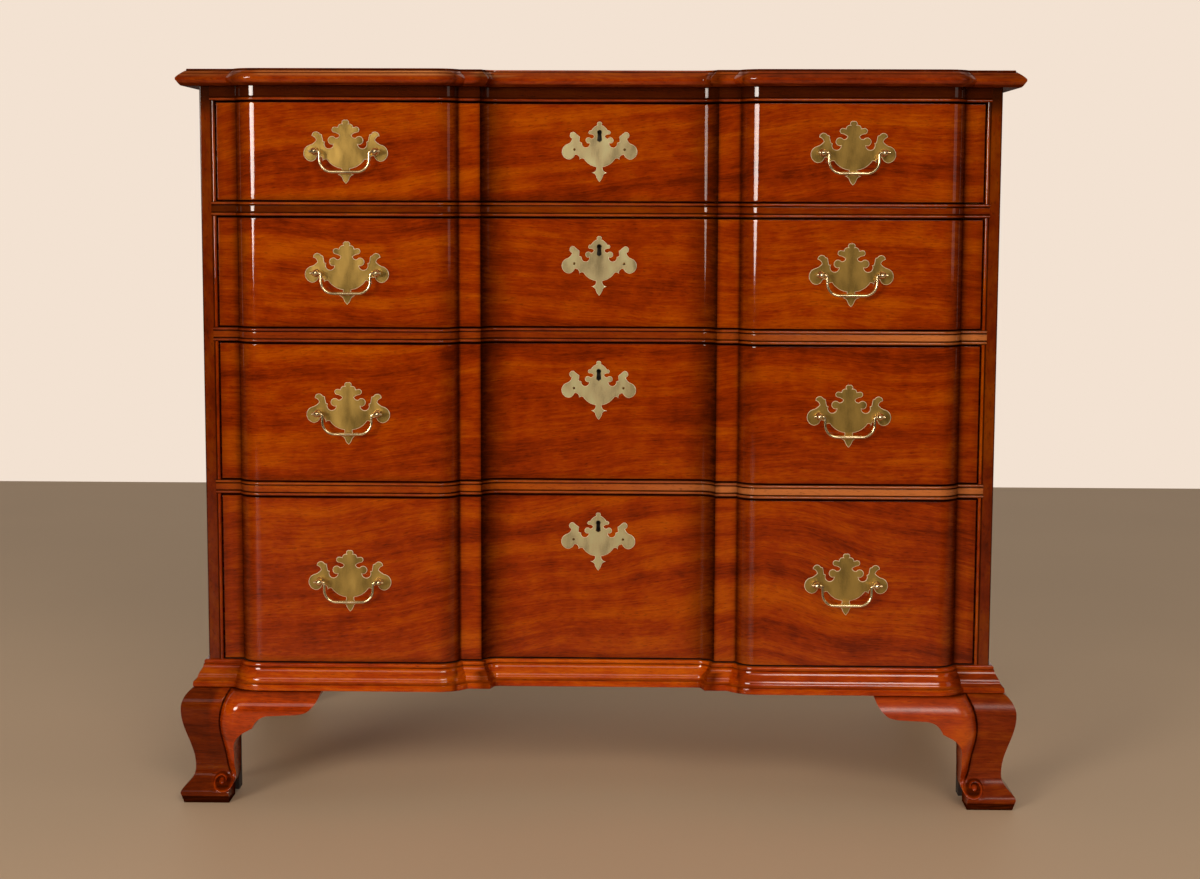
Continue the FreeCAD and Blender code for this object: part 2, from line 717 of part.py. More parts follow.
def make_drawer(number, opening_low, opening_height):
    """Write the pieces of one drawer."""
    name = "drawer_%d_" % number
    low = opening_low + drawer_bottom_gap
    high = opening_low + opening_height - drawer_top_gap
    half = opening_half - drawer_side_gap
    pull_z = (low + high) / 2
    box_low = opening_low + running_gap
    box_high = high - drawer_side_drop
    back_y = back_front - drawer_back_clearance
    inner = half - drawer_side_thickness
    panel_low = box_low + drawer_bottom_lift
    panel_half = inner + groove_depth
    panel = board(-panel_half, panel_half, front_stock - groove_depth, back_y,
                  panel_low, panel_low + drawer_bottom_thickness)

    # Sides, dovetailed into the front and the back
    side = board(inner, half, front_stock, back_y - drawer_back_thickness, box_low, box_high)
    tail_low = max(box_low, low)
    front_tails = dovetails(inner, half, front_stock, front_stock - dovetail_length,
                            tail_low, box_high)
    back_low = panel_low + drawer_bottom_thickness
    back_tails = dovetails(inner, half, back_y - drawer_back_thickness, back_y, back_low, box_high)
    right_side = one(side.fuse(front_tails + back_tails).cut(panel))
    save(name + "sides", right_side, mirrored(right_side))

    back = board(-half, half, back_y - drawer_back_thickness, back_y, back_low, box_high)
    left_tails = [mirrored(tail) for tail in back_tails]
    save(name + "back", one(back.cut(Part.makeCompound(back_tails + left_tails))))
    save(name + "bottom", panel)

    # Lock, let into the back of the front
    lock_high = high - lock_top_gap
    lock_low = lock_high - lock_height
    lock_y = front_stock - lock_mortise
    case = board(-lock_width / 2, lock_width / 2, lock_y, lock_y + lock_thickness,
                 lock_low, lock_high)
    nail_z = high - escutcheon_top_gap - escutcheon_height
    key_z = nail_z + keyhole_height
    bolt_mid = lock_y + lock_thickness / 2
    bolt = board(-bolt_width / 2, bolt_width / 2, bolt_mid - lock_bolt_thickness / 2,
                 bolt_mid + lock_bolt_thickness / 2, lock_high - lock_bolt_height, lock_high)
    slot = board(-bolt_width / 2 - lock_slot_gap, bolt_width / 2 + lock_slot_gap,
                 bolt_mid - lock_bolt_thickness / 2 - lock_slot_gap,
                 bolt_mid + lock_bolt_thickness / 2 + lock_slot_gap,
                 lock_high - lock_bolt_height, lock_high + 1)
    keyway = keyhole_tool(key_z, recess_depth - 5, lock_y + lock_thickness / 2 - 3.0)
    save(name + "lock", one(case.cut(slot).cut(keyway)), bolt)

    # Escutcheon, nailed over the keyhole in the sunk centre
    plate_y = recess_depth - escutcheon_thickness
    plate = symmetric_face(escutcheon_outline, escutcheon_width, (0.0, nail_z), plate_y)
    plate = plate.extrude(Vector(0, escutcheon_thickness, 0))
    nails = []
    for x in (-nail_spacing / 2, nail_spacing / 2):
        head = rod(nail_head_radius, Vector(x, plate_y - nail_head_height, nail_z),
                   Vector(x, plate_y, nail_z))
        shank = rod(nail_radius, Vector(x, plate_y, nail_z),
                    Vector(x, plate_y + nail_length, nail_z))
        nails.append(one(head.fuse(shank)))
    plate = one(plate.cut(Part.makeCompound(nails)).cut(keyway))
    save(name + "escutcheon", plate, *nails)

    # Pulls, bolted through the blocks
    mounts = []
    holes = []
    for side_name, x in (("left", -pull_spacing / 2), ("right", pull_spacing / 2)):
        backplate = symmetric_face(plate_outline, plate_width, (x, pull_z),
                                   -block_rise - plate_thickness)
        backplate = backplate.extrude(Vector(0, plate_thickness, 0))
        for post_x in (x - post_spacing / 2, x + post_spacing / 2):
            hole = rod(bolt_radius + bolt_clearance, Vector(post_x, -front_stock, pull_z),
                       Vector(post_x, front_stock + 1, pull_z))
            backplate = backplate.cut(hole)
            holes.append(hole)
            mounts += [post(post_x, pull_z), nut(post_x, pull_z)]
        mounts.append(one(backplate))
        save(name + "bail_" + side_name, bail(x, pull_z))
    save(name + "pull_mounts", *mounts)

    # The front itself, sawn from thick stock and cut for everything that it holds
    plan = closed_plan(front_line(0.0, half), [(half, front_stock), (-half, front_stock)], low)
    front = slab(plan, high - low)
    cuts = front_tails + [mirrored(tail) for tail in front_tails] + holes + nails
    cuts += [panel, case, keyway]
    save(name + "front", one(front.cut(Part.makeCompound(cuts))))


os.makedirs("parts", exist_ok=True)
front_foot = foot_face()
front_reach = front_foot.optimalBoundingBox(False).YMin
centre_shift = -(front_reach + case_depth + top_back_overhang) / 2
make_case()
make_base(front_foot)
for number, low in enumerate(opening_bottoms, 1):
    make_drawer(number, low, opening_heights[number - 1])
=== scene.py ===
"""Dresses a block front chest of four drawers: lacquered mahogany, carved feet and brass."""
from functools import partial
import math

import bmesh
import bpy
from bpy.props import FloatProperty, FloatVectorProperty, PointerProperty
from mathutils import Matrix, Vector


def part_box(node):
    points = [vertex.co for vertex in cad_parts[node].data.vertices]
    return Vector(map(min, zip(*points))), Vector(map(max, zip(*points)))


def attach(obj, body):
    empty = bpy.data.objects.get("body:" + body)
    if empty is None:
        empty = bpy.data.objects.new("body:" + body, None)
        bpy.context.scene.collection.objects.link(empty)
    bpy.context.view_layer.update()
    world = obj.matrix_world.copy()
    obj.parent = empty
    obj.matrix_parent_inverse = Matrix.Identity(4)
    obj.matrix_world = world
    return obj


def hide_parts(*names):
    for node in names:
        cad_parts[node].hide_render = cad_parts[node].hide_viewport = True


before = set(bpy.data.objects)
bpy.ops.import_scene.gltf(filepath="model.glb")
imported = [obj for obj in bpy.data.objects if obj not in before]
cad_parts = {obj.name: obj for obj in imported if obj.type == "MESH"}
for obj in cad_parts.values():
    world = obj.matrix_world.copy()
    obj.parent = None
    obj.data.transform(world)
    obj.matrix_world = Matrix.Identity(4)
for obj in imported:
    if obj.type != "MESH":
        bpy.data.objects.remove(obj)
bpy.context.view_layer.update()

bl_info = {
    "name": "Block front chest",
    "version": (1, 0, 0),
    "blender": (4, 5, 0),
    "location": "View3D > Sidebar > Chest",
    "description": "Finishes a block front chest of drawers on ogee bracket feet",
    "category": "Object",
}

MM = 0.001
# Vertices closer than this are merged
MERGE = 0.002 * MM
DRAWERS = (1, 2, 3, 4)
HANDS = {"left": -1, "right": 1}

# The plan of the blocked front, which the top, the rails and the base moulding all follow
RECESS_HALF = 142 * MM
RECESS_DEPTH = 16.2 * MM
RECESS_LIP = 1.5 * MM
STRIP_WIDTH = 25.5 * MM
BLOCK_RISE = 18.8 * MM
BLOCK_MARGIN = 43 * MM
TURN = math.radians(72)
BEAD_WIDTH = 4.2 * MM
BEAD_PROUD = 1.5 * MM

# Places that are read from the frame
HALF_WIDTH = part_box("side_right")[1].x
FRONT_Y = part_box("side_right")[0].y + BEAD_PROUD
REAR_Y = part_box("side_right")[1].y
FOOT_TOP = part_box("foot_front_right_face")[1].z
BASE_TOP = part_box("base_moulding_front")[1].z
TOP_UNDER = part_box("top")[0].z
TOP_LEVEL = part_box("top")[1].z
RAIL_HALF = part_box("top_rail")[1].x

# The case's boards and mouldings
SIDE_THICKNESS = 18 * MM
NOSE = TOP_UNDER + 8.8 * MM
TOP_SHOULDER = TOP_LEVEL - 2.4 * MM
TOP_OVERHANG = 15 * MM
BASE_PROJECTION = 17 * MM
FASCIA = FOOT_TOP + 7.4 * MM
NECK = BASE_TOP - 5 * MM

# The arcs of the front's plan
BLOCK_OUTER = HALF_WIDTH - BLOCK_MARGIN
BLOCK_INNER = RECESS_HALF + STRIP_WIDTH
BLOCK_RADIUS = BLOCK_RISE / (1 - math.cos(TURN))
RECESS_RADIUS = (RECESS_DEPTH - RECESS_LIP * math.sin(TURN)) / (1 - math.cos(TURN))
RECESS_FLAT = RECESS_HALF - RECESS_RADIUS * math.sin(TURN) - RECESS_LIP * math.cos(TURN)

# Feet
FOOT_STOCK = 12 * MM
BULGE_PROJECTION = 29.8 * MM
BULGE_DROP = 24.8 * MM
BULGE_TUCK = 28.8 * MM
WAIST_PROJECTION = 15.4 * MM
WAIST_HEIGHT = 43.5 * MM
TOE_PROJECTION = 31.5 * MM
TOE_HEIGHT = 12.5 * MM
PAD_PROJECTION = 27.8 * MM
TOE_QUICKNESS = 1.5
WING_LENGTH = 142.6 * MM
REAR_FOOT_EXTRA = 24 * MM
FOOT_BLOCK_ANGLE = math.radians(80)

# Brasses
ESCUTCHEON_THICKNESS = 1.2 * MM
KEYHOLE_DROP = 17 * MM
NAIL_LENGTH = 6 * MM
NAIL_RADIUS = 1.5 * MM
POST_LENGTH = 18 * MM
POST_RADIUS = 4.6 * MM
BALL_RADIUS = 4.0 * MM
PIN_OVERRUN = 2.2 * MM
POST_SPACE = 12 * MM

# The carved crease of a front foot: (height, distance in from the corner)
CREASE = tuple((z * MM, s * MM) for z, s in (
    (30.0, 28.5), (45.0, 24.8), (58.0, 22.9), (72.0, 20.5), (85.0, 18.2), (98.0, 17.2),
    (111.0, 18.4), (124.0, 21.6), (132.0, 24.8), (141.8, 30.0)))
VOLUTE_CENTRE = (17.6 * MM, 26.0 * MM)
VOLUTE_REACH = 14.2 * MM
VOLUTE_END = 5.0 * MM
VOLUTE_EYE = 3.7 * MM
VOLUTE_EYE_RISE = 2.6 * MM
VOLUTE_RIDGE_RISE = 1.9 * MM
VOLUTE_CUT = 1.1 * MM
CREASE_DEPTH = 0.9 * MM

# The camera
CAMERA_PLACE = (0.05714, -2.75307, 0.73723)
CAMERA_YAW = math.radians(-1.245)
CAMERA_DIP = math.radians(6.554)
CAMERA_ROLL = math.radians(-0.197)
CAMERA_LENS = 63.44

# A Mix node's two colour inputs
MIX_A, MIX_B = 6, 7


def linear(text):
    """Linear RGBA of an sRGB hex colour."""
    parts = [int(text[i:i + 2], 16) / 255 for i in (1, 3, 5)]
    return tuple(c / 12.92 if c <= 0.04045 else ((c + 0.055) / 1.055) ** 2.4
                 for c in parts) + (1.0,)


def length(name, default, description):
    """A size that a user may change, its default in millimetres."""
    return FloatProperty(name=name, default=default * MM, unit="LENGTH", description=description)


def colour(name, default, description):
    """A colour that a user may change, its default in hex."""
    return FloatVectorProperty(name=name, default=linear(default), size=4, subtype="COLOR",
                               description=description)


class ChestSizes(bpy.types.PropertyGroup):
    """Sizes of the finish work that a user may change."""
    drawer_edge: length("Drawer edge", 0.9, "Rounding of a drawer front's edges")
    board_edge: length("Board edge", 0.5, "Rounding of the case's sharp edges")
    plate_bevel: length("Plate bevel", 0.9, "Filed bevel around a pull's plate")
    escutcheon_bevel: length("Escutcheon bevel", 0.6, "Filed bevel around an escutcheon")
    bail_radius: length("Bail radius", 1.7, "Radius of a bail at its arms")
    grip_radius: length("Grip radius", 2.2, "Radius of a bail at the middle of its grip")
    streak_width: length("Grain streak", 3.0, "Width of a streak of the mahogany's grain")
    ribbon_width: length("Grain ribbon", 24.0, "Width of a broad ribbon of the figure")


class ChestColours(bpy.types.PropertyGroup):
    """Colours that a user may change."""
    wood_dark: colour("Dark mahogany", "#601900", "Dark streaks")
    wood_middle: colour("Mahogany", "#892B00", "The wood's ground")
    wood_light: colour("Light mahogany", "#A54800", "Light streaks")
    # Painted sheen, laid on the wood where light falls on the rails and along the top's edge
    wood_bleached: colour("Bleached mahogany", "#DC8C4C", "Wood that years of light have bleached")
    # Dark glaze, also used for painted shade in creases, grooves, gaps and shadowed parts
    glaze: colour("Glaze and shade", "#260B01", "Dark glaze in the creases")
    brass: colour("Brass", "#C9A555", "Antiqued brass")
    floor: colour("Floor", "#D6BA9A", "The pale floor")


# Materials

def join(node, links):
    """Link or set a node's inputs, by name or in order; a source node gives its first output."""
    for socket, source in links.items() if isinstance(links, dict) else enumerate(links):
        if isinstance(source, bpy.types.Node):
            source = next(output for output in source.outputs if output.enabled)
        if isinstance(source, bpy.types.NodeSocket):
            node.id_data.links.new(source, node.inputs[socket])
        else:
            node.inputs[socket].default_value = source
    return node


def add(tree, kind, links=(), **settings):
    """Add a node, a shader one where kind doesn't say, with its settings and links."""
    node = tree.nodes.new(kind if "Node" in kind else "ShaderNode" + kind)
    for name, value in settings.items():
        setattr(node, name, value)
    return join(node, links)


def material(name):
    """Start a material: add for its tree, its surface shader and its Object coordinates."""
    made = bpy.data.materials.new(name)
    made.use_nodes = True
    made.node_tree.nodes.clear()
    node = partial(add, made.node_tree)
    shader = node("BsdfPrincipled")
    node("OutputMaterial", (shader,))
    return node, shader, node("TexCoord").outputs["Object"]


def with_stops(ramp, *stops):
    """A colour ramp's node, given its stops: (place, colour)."""
    elements = ramp.color_ramp.elements
    elements.remove(elements[-1])
    for number, (place, shade) in enumerate(stops):
        element = elements.new(place) if number else elements[0]
        element.position = place
        element.color = shade
    return ramp


def scaled(shade, share):
    """A colour made darker or lighter, and no lighter than white."""
    return tuple(min(1.0, level * share) for level in shade[:3]) + (1.0,)


def mahogany(name, grain="XYZ", centre=0.0, lean=0.0, vee=0.0, wander=10 * MM, seed=0.0,
             tone=1.0, haze=0.05):
    """Figured mahogany, dyed red, glazed and painted with shade in its creases, and polished under
    clear lacquer.

    grain names the axes along the grain, through the board and across it. The ribbons lean
    across by lean per metre and open into a V by vee per metre on both sides of centre.
    haze is the lacquer's roughness, which grows where it is rubbed thin.
    """
    sizes = bpy.context.scene.chest_sizes
    colours = bpy.context.scene.chest_colours
    node, shader, place = material(name)
    split = node("SeparateXYZ", (place,)).outputs
    run, through, across = (split[axis] for axis in grain)
    shifted = node("Math", (run, centre), operation="SUBTRACT")
    far = node("Math", (shifted,), operation="ABSOLUTE")
    bend = node("TexNoise", {"Vector": place, "Scale": 5.5, "Detail": 1.0})
    bend = node("Math", (bend, 0.5), operation="SUBTRACT")
    bent = across
    for way, share in ((shifted, lean), (far, vee), (bend, 4 * wander)):
        bent = node("Math", (way, share, bent), operation="MULTIPLY_ADD")
    thin = node("Math", (through, 0.25), operation="MULTIPLY")

    def flow(squeeze):
        """Bent coordinates, squeezed along the grain."""
        long = node("Math", (run, squeeze, seed), operation="MULTIPLY_ADD")
        return node("CombineXYZ", (long, thin, bent))

    # Ribbons, streaks, mottle, flecks and pores, which are drawn wider than real ones
    long_flow, short_flow = flow(0.06), flow(0.14)
    ribbons = node("TexNoise", {"Vector": long_flow, "Scale": 1 / sizes.ribbon_width,
                                "Detail": 2.0, "Distortion": 0.3})
    streaks = node("TexNoise", {"Vector": long_flow, "Scale": 1 / sizes.streak_width,
                                "Detail": 4.0, "Roughness": 0.65})
    flecks = node("TexNoise", {"Vector": short_flow, "Scale": 1 / (1.5 * MM), "Detail": 2.0})
    mottle = node("Mapping", {"Vector": place, "Location": (seed,) * 3})
    mottle = node("TexNoise", {"Vector": mottle, "Scale": 1 / (26 * MM), "Detail": 3.0})
    pores = node("TexNoise", {"Vector": short_flow, "Scale": 1 / (0.9 * MM), "Detail": 1.0})
    pores = node("MapRange", (pores, 0.60, 0.74, 0.0, 0.40))
    figure = node("Math", (ribbons, 0.40), operation="MULTIPLY")
    for part, share in ((streaks, 0.24), (mottle, 0.20), (flecks, 0.16)):
        figure = node("Math", (part, share, figure), operation="MULTIPLY_ADD")
    wood = with_stops(node("ValToRGB", (figure,)), (0.38, colours.wood_dark),
                      (0.49, colours.wood_middle), (0.62, colours.wood_light))
    tint = node("CombineColor", (tone,) * 3)
    wood = node("Mix", {0: 1.0, MIX_A: wood, MIX_B: tint}, data_type="RGBA",
                blend_type="MULTIPLY")
    # Painted light and shade: bleach lightens where light falls, shade is painted shade, and glaze
    # is dark glaze with painted shade; the pores are the wood's own
    bleach, shade, glaze = (node("Attribute", attribute_name=label).outputs["Fac"]
                            for label in ("bleach", "shade", "glaze"))
    grain_variation = node("MapRange", (streaks, 0.3, 0.7, 1.1, 0.85))
    glaze = node("Math", (glaze, grain_variation), operation="MULTIPLY", use_clamp=True)
    for share, over in ((bleach, colours.wood_bleached), (pores, colours.glaze),
                        (shade, colours.glaze), (glaze, colours.glaze)):
        wood = node("Mix", {0: share, MIX_A: wood, MIX_B: over}, data_type="RGBA")

    # The lacquer lies a little unevenly, about every 9 mm, so its highlights waver
    film = node("TexNoise", {"Vector": place, "Scale": 1 / (9 * MM), "Detail": 1.0})
    join(shader, {
        "Base Color": wood, "Roughness": 0.5, "Specular IOR Level": 0.0, "Coat IOR": 1.5,
        "Coat Roughness": haze, "Coat Weight": node("MapRange", (glaze, 0.0, 0.8, 1.0, 0.0)),
        "Normal": node("Bump", {"Height": figure, "Strength": 0.08, "Distance": 0.4 * MM}),
        "Coat Normal": node("Bump", {"Height": film, "Strength": 0.10, "Distance": 0.25 * MM})})


def poplar(name, run, stained=False):
    """Planed poplar, its faint grain along run: pale and dull; the case's is dark in front, as
    painted shade where it lies behind the chest's front.
    """
    node, shader, place = material(name)
    stretch = [0.06 if axis == run else 1.0 for axis in "XYZ"]
    long = node("Mapping", {"Vector": place, "Scale": stretch})
    grain = node("TexNoise", {"Vector": long, "Scale": 1 / (5 * MM), "Detail": 4.0,
                              "Roughness": 0.6})
    wood = with_stops(node("ValToRGB", (grain,)), (0.3, linear("#A87F52")),
                      (0.5, linear("#C39C6B")), (0.7, linear("#D2B184")))
    if stained:
        # Painted shade: the front end, which lies in shadow behind the chest's front, is painted
        # near black
        depth = node("SeparateXYZ", (place,)).outputs[1]
        front_shade = node("MapRange", (depth, FRONT_Y + 40 * MM, FRONT_Y + 55 * MM, 1.0, 0.0))
        wood = node("Mix", {0: front_shade, MIX_A: wood, MIX_B: linear("#1C0A03")}, data_type="RGBA")
    bump = node("Bump", {"Height": grain, "Strength": 0.25, "Distance": 0.2 * MM})
    join(shader, {"Base Color": wood, "Roughness": 0.7, "Normal": bump})


def brushed_brass(name, shade=None, brushing=True, metallic=1.0):
    """Antiqued brass: finely brushed up and down, clouded where its lacquer has yellowed."""
    shade = linear(shade) if shade else bpy.context.scene.chest_colours.brass
    node, shader, place = material(name)
    stretched = node("Mapping", {"Vector": place, "Scale": (1.0, 1.0, 0.06)})
    scratches = node("TexNoise", {"Vector": stretched, "Scale": 1 / (0.5 * MM), "Detail": 2.0})
    clouds = node("Mapping", {"Vector": place, "Scale": (1.0, 1.0, 0.4)})
    tarnish = node("TexNoise", {"Vector": clouds, "Scale": 1 / (16 * MM), "Detail": 2.0})
    freckles = node("TexNoise", {"Vector": place, "Scale": 1 / (1.6 * MM), "Detail": 2.0})
    tint = node("Math", (scratches, 0.2), operation="MULTIPLY")
    for part, share in ((tarnish, 0.68), (freckles, 0.12)):
        tint = node("Math", (part, share, tint), operation="MULTIPLY_ADD")
    antique = with_stops(node("ValToRGB", (tint,)), (0.36, scaled(shade, 0.66)), (0.5, shade),
                         (0.62, scaled(shade, 1.12)))
    # Painted glint: the plates' and escutcheons' outer edges are painted pale and less metallic, as
    # light caught on the bevel's rim
    rubbed = node("Attribute", attribute_name="rubbed").outputs["Fac"]
    glinted = node("Mix", {0: rubbed, MIX_A: antique, MIX_B: linear("#FFF2D0")}, data_type="RGBA")
    join(shader, {"Base Color": glinted,
                  "Metallic": node("MapRange", (rubbed, 0.0, 1.0, metallic, 0.3)),
                  "Roughness": node("MapRange", (tarnish, 0.3, 0.7, 0.16, 0.26))})
    if brushing:
        bump = node("Bump", {"Height": scratches, "Strength": 0.12, "Distance": 0.05 * MM})
        join(shader, {"Normal": bump})


def dull_steel(name):
    """Dull steel of the locks' cases and the screws: grey, faintly mottled."""
    node, shader, place = material(name)
    mottle = node("TexNoise", {"Vector": place, "Scale": 1 / (6 * MM), "Detail": 3.0})
    grey = with_stops(node("ValToRGB", (mottle,)), (0.3, linear("#36342F")),
                      (0.7, linear("#5C5852")))
    join(shader, {"Base Color": grey, "Metallic": 1.0,
                  "Roughness": node("MapRange", (mottle, 0.3, 0.7, 0.35, 0.55))})


def painted_floor(name):
    """Smooth pale painted boards, matt and faintly clouded.

    Its far front reads dark in the lacquer's reflections, like the unlit end of a room.
    """
    node, shader, place = material(name)
    cloud = node("TexNoise", {"Vector": place, "Scale": 1.3, "Detail": 2.0})
    floor = bpy.context.scene.chest_colours.floor
    paint = with_stops(node("ValToRGB", (cloud,)), (0.3, scaled(floor, 0.94)), (0.7, floor))
    depth = node("SeparateXYZ", (place,)).outputs[1]
    unlit = node("MapRange", (depth, -0.5, -1.3, 0.0, 0.93))
    mirrored = node("LightPath").outputs["Is Glossy Ray"]
    unlit = node("Math", (unlit, mirrored), operation="MULTIPLY")
    paint = node("Mix", {0: unlit, MIX_A: paint, MIX_B: linear("#000000")}, data_type="RGBA")
    join(shader, {"Base Color": paint, "Roughness": 0.6, "Specular IOR Level": 0.2})


# What each material is made by. Every drawer's front is cut from its own board, and brooms have
# rubbed the right foot's lacquer hazy. The base and feet are painted lighter in tone, as painted
# light for the light that falls on them. Hands have rubbed the posts and bails bright. The
# escutcheons' lacquer has browned less than the plates', and the nails have gone brown in the
# polish that gathers round their heads.
MATERIALS = {
    mahogany: {
        "figured_mahogany_1": dict(lean=-0.05, vee=0.08, centre=0.30, wander=7 * MM, seed=3.1),
        "figured_mahogany_2": dict(lean=0.02, wander=9 * MM, seed=11.7),
        "figured_mahogany_3": dict(lean=-0.03, vee=0.05, centre=0.2, wander=8 * MM, seed=23.9),
        "figured_mahogany_4": dict(lean=0.03, vee=0.16, centre=0.20, wander=12 * MM, seed=37.3),
        "mahogany_rails": dict(seed=51.3, wander=5 * MM),
        "mahogany_sides": dict(grain="ZXY", seed=61.9, wander=12 * MM, tone=0.9),
        "mahogany_top": dict(grain="XZY", seed=71.7),
        # The base's and the feet's higher tone is painted light, for the light that falls on them
        "mahogany_base": dict(seed=47.1, wander=4 * MM, tone=1.35, haze=0.08),
        "mahogany_returns": dict(grain="YXZ", seed=93.1, wander=5 * MM),
        "mahogany_foot_left": dict(seed=83.3, wander=7 * MM, tone=1.4, haze=0.08),
        "mahogany_foot_right": dict(seed=83.3, wander=7 * MM, tone=1.4, haze=0.28)},
    poplar: {
        "planed_poplar_lengthwise": dict(run="Y"),
        "planed_poplar_crosswise": dict(run="X"),
        "stained_poplar_crosswise": dict(run="X", stained=True),
        "stained_poplar_lengthwise": dict(run="Y", stained=True),
        "stained_poplar_upright": dict(run="Z", stained=True)},
    brushed_brass: {
        "brushed_brass": dict(metallic=0.72),
        "rubbed_brass": dict(shade="#E8D4A8", brushing=False),
        "pale_brass": dict(shade="#FFEBB0", metallic=0.72),
        "browned_brass": dict(shade="#5A3C1C", brushing=False)},
    dull_steel: {"dull_steel": {}},
    painted_floor: {"pale_floor": {}}}


def material_of(name):
    """The material of this name, made when it is first asked for."""
    for make, choices in MATERIALS.items():
        if name in choices and name not in bpy.data.materials:
            make(name, **choices[name])
    return bpy.data.materials[name]


# Meshes

def evaluated_mesh(made):
    """The mesh that an object's modifiers make."""
    return bpy.data.meshes.new_from_object(
        made.evaluated_get(bpy.context.evaluated_depsgraph_get()))


def outward(work):
    """A mesh with its faces turned outwards."""
    work.normal_update()
    bmesh.ops.recalc_face_normals(work, faces=work.faces)
    return work


def hand_over(name, work, body, slot, finish, *nodes, smooth=35.0, **paint):
    """paint names attributes, such as glaze (dark glazing with painted shade), shade (painted
    shade) and bleach (painted light), with the level of each at a point.
    """
    for label, level in paint.items():
        layer = work.verts.layers.float.new(label)
        for vertex in work.verts:
            vertex[layer] = min(1.0, max(0.0, level(vertex.co)))
    for face in outward(work).faces:
        face.smooth = True
        face.material_index = 0
    for edge in work.edges:
        edge.smooth = edge.is_manifold and edge.calc_face_angle(0) < math.radians(smooth)
    made = from_bmesh(name, work)
    made.data.materials.append(material_of(finish))
    weigh = made.modifiers.new("weigh", "WEIGHTED_NORMAL")
    weigh.keep_sharp = True
    weighed = evaluated_mesh(made)
    made.modifiers.clear()
    plain = made.data
    made.data = weighed
    bpy.data.meshes.remove(plain)
    made.data.name = name
    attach(made, body)
    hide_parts(*nodes)


def new_object(name, data):
    """An object in the scene with this data."""
    made = bpy.data.objects.new(name, data)
    bpy.context.scene.collection.objects.link(made)
    return made


def from_bmesh(name, work):
    """An object at the origin with this mesh, which is used up."""
    mesh = bpy.data.meshes.new(name)
    work.to_mesh(mesh)
    work.free()
    return new_object(name, mesh)


def from_node(node):
    """A merged working copy of a CAD node's mesh, with its flat faces joined."""
    work = bmesh.new()
    work.from_mesh(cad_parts[node].data)
    bmesh.ops.remove_doubles(work, verts=work.verts, dist=MERGE)
    bmesh.ops.dissolve_degenerate(work, edges=work.edges, dist=0.001 * MM)
    bmesh.ops.dissolve_limit(work, angle_limit=math.radians(0.4), verts=work.verts,
                             edges=work.edges)
    return work


def creases(work, degrees):
    """The edges at which a mesh turns by more than these degrees."""
    return [edge for edge in work.edges
            if edge.is_manifold and edge.calc_face_angle(0) > math.radians(degrees)]


def ease(work, edges, radius, steps=2):
    """Round the chosen edges."""
    bmesh.ops.bevel(work, geom=list(edges), offset=radius, segments=steps, profile=0.5,
                    affect="EDGES", clamp_overlap=False)


def cut_through(work, axis, place):
    """Add edges where a plane across an axis passes through a mesh."""
    normal = Vector([float(i == axis) for i in range(3)])
    bmesh.ops.bisect_plane(work, geom=work.verts[:] + work.edges[:] + work.faces[:],
                           plane_co=normal * place, plane_no=normal, dist=0.001 * MM)


def near(a, b):
    """Whether two places are the same, to a hundredth of a millimetre."""
    return abs(a - b) < 0.01 * MM


def mix(low, high, share):
    """The value at a share of the way from low to high."""
    return low + (high - low) * share


def between(value, low, high):
    """Smooth step from 0 at low to 1 at high."""
    share = min(1.0, max(0.0, (value - low) / (high - low)))
    return share * share * (3 - 2 * share)


def rising(value, low, high):
    """Smooth step from 0 at low millimetres to 1 at high millimetres."""
    return between(value, low * MM, high * MM)


def falling(value, low, high):
    """Smooth step from 1 at low millimetres to 0 at high millimetres."""
    return 1 - rising(value, low, high)


def swing(share):
    """Half a wave, from 0 at share 0 to 1 at share 1."""
    return 0.5 - 0.5 * math.cos(math.pi * share)


def along(points, value):
    """Smooth curve through (place, level) points."""
    if value <= points[0][0]:
        return points[0][1]
    for number, ((x0, y0), (x1, y1)) in enumerate(zip(points, points[1:])):
        if value <= x1:
            before = points[number - 1] if number else (x0, y0)
            after = points[number + 2] if number + 2 < len(points) else (x1, y1)
            slope0 = (y1 - before[1]) / (x1 - before[0]) * (x1 - x0)
            slope1 = (after[1] - y0) / (after[0] - x0) * (x1 - x0)
            t = (value - x0) / (x1 - x0)
            return ((2 * t ** 3 - 3 * t ** 2 + 1) * y0 + (t ** 3 - 2 * t ** 2 + t) * slope0
                    + (3 * t ** 2 - 2 * t ** 3) * y1 + (t ** 3 - t ** 2) * slope1)
    return points[-1][1]


# How much dark glaze and painted shade lie on the blocked front, by distance from its middle
GLAZE_AND_SHADE = tuple((x * MM, level) for x, level in (
    (0.0, 0.0), (96.0, 0.0), (106.0, 0.10), (116.0, 0.34), (126.0, 0.58), (134.0, 0.76),
    (141.6, 0.97), (142.4, 0.20), (148.0, 0.0), (161.0, 0.0), (167.0, 0.25), (167.8, 0.95),
    (173.0, 0.40), (186.0, 0.24), (194.0, 0.05), (202.0, 0.0), (404.0, 0.0), (412.0, 0.08),
    (420.0, 0.30), (432.6, 0.90), (433.4, 0.66), (440.0, 0.26), (447.0, 0.14), (452.0, 0.28),
    (457.0, 0.46), (520.0, 0.42)))


def in_front(point, depth):
    """Whether a point lies on the front, less than depth millimetres behind its flat strips."""
    return point.y < FRONT_Y + depth * MM


def crease_glaze(x):
    """Level of dark glazing and painted shade at a place across the front."""
    x = abs(x)
    for (x0, low), (x1, high) in zip(GLAZE_AND_SHADE, GLAZE_AND_SHADE[1:]):
        if x <= x1:
            return mix(low, high, (x - x0) / (x1 - x0))
    return GLAZE_AND_SHADE[-1][1]


def on_circle(centre, radius, angle):
    """The plan point at an angle, from straight ahead, round a circle."""
    return (centre[0] + radius * math.sin(angle), centre[1] - radius * math.cos(angle))


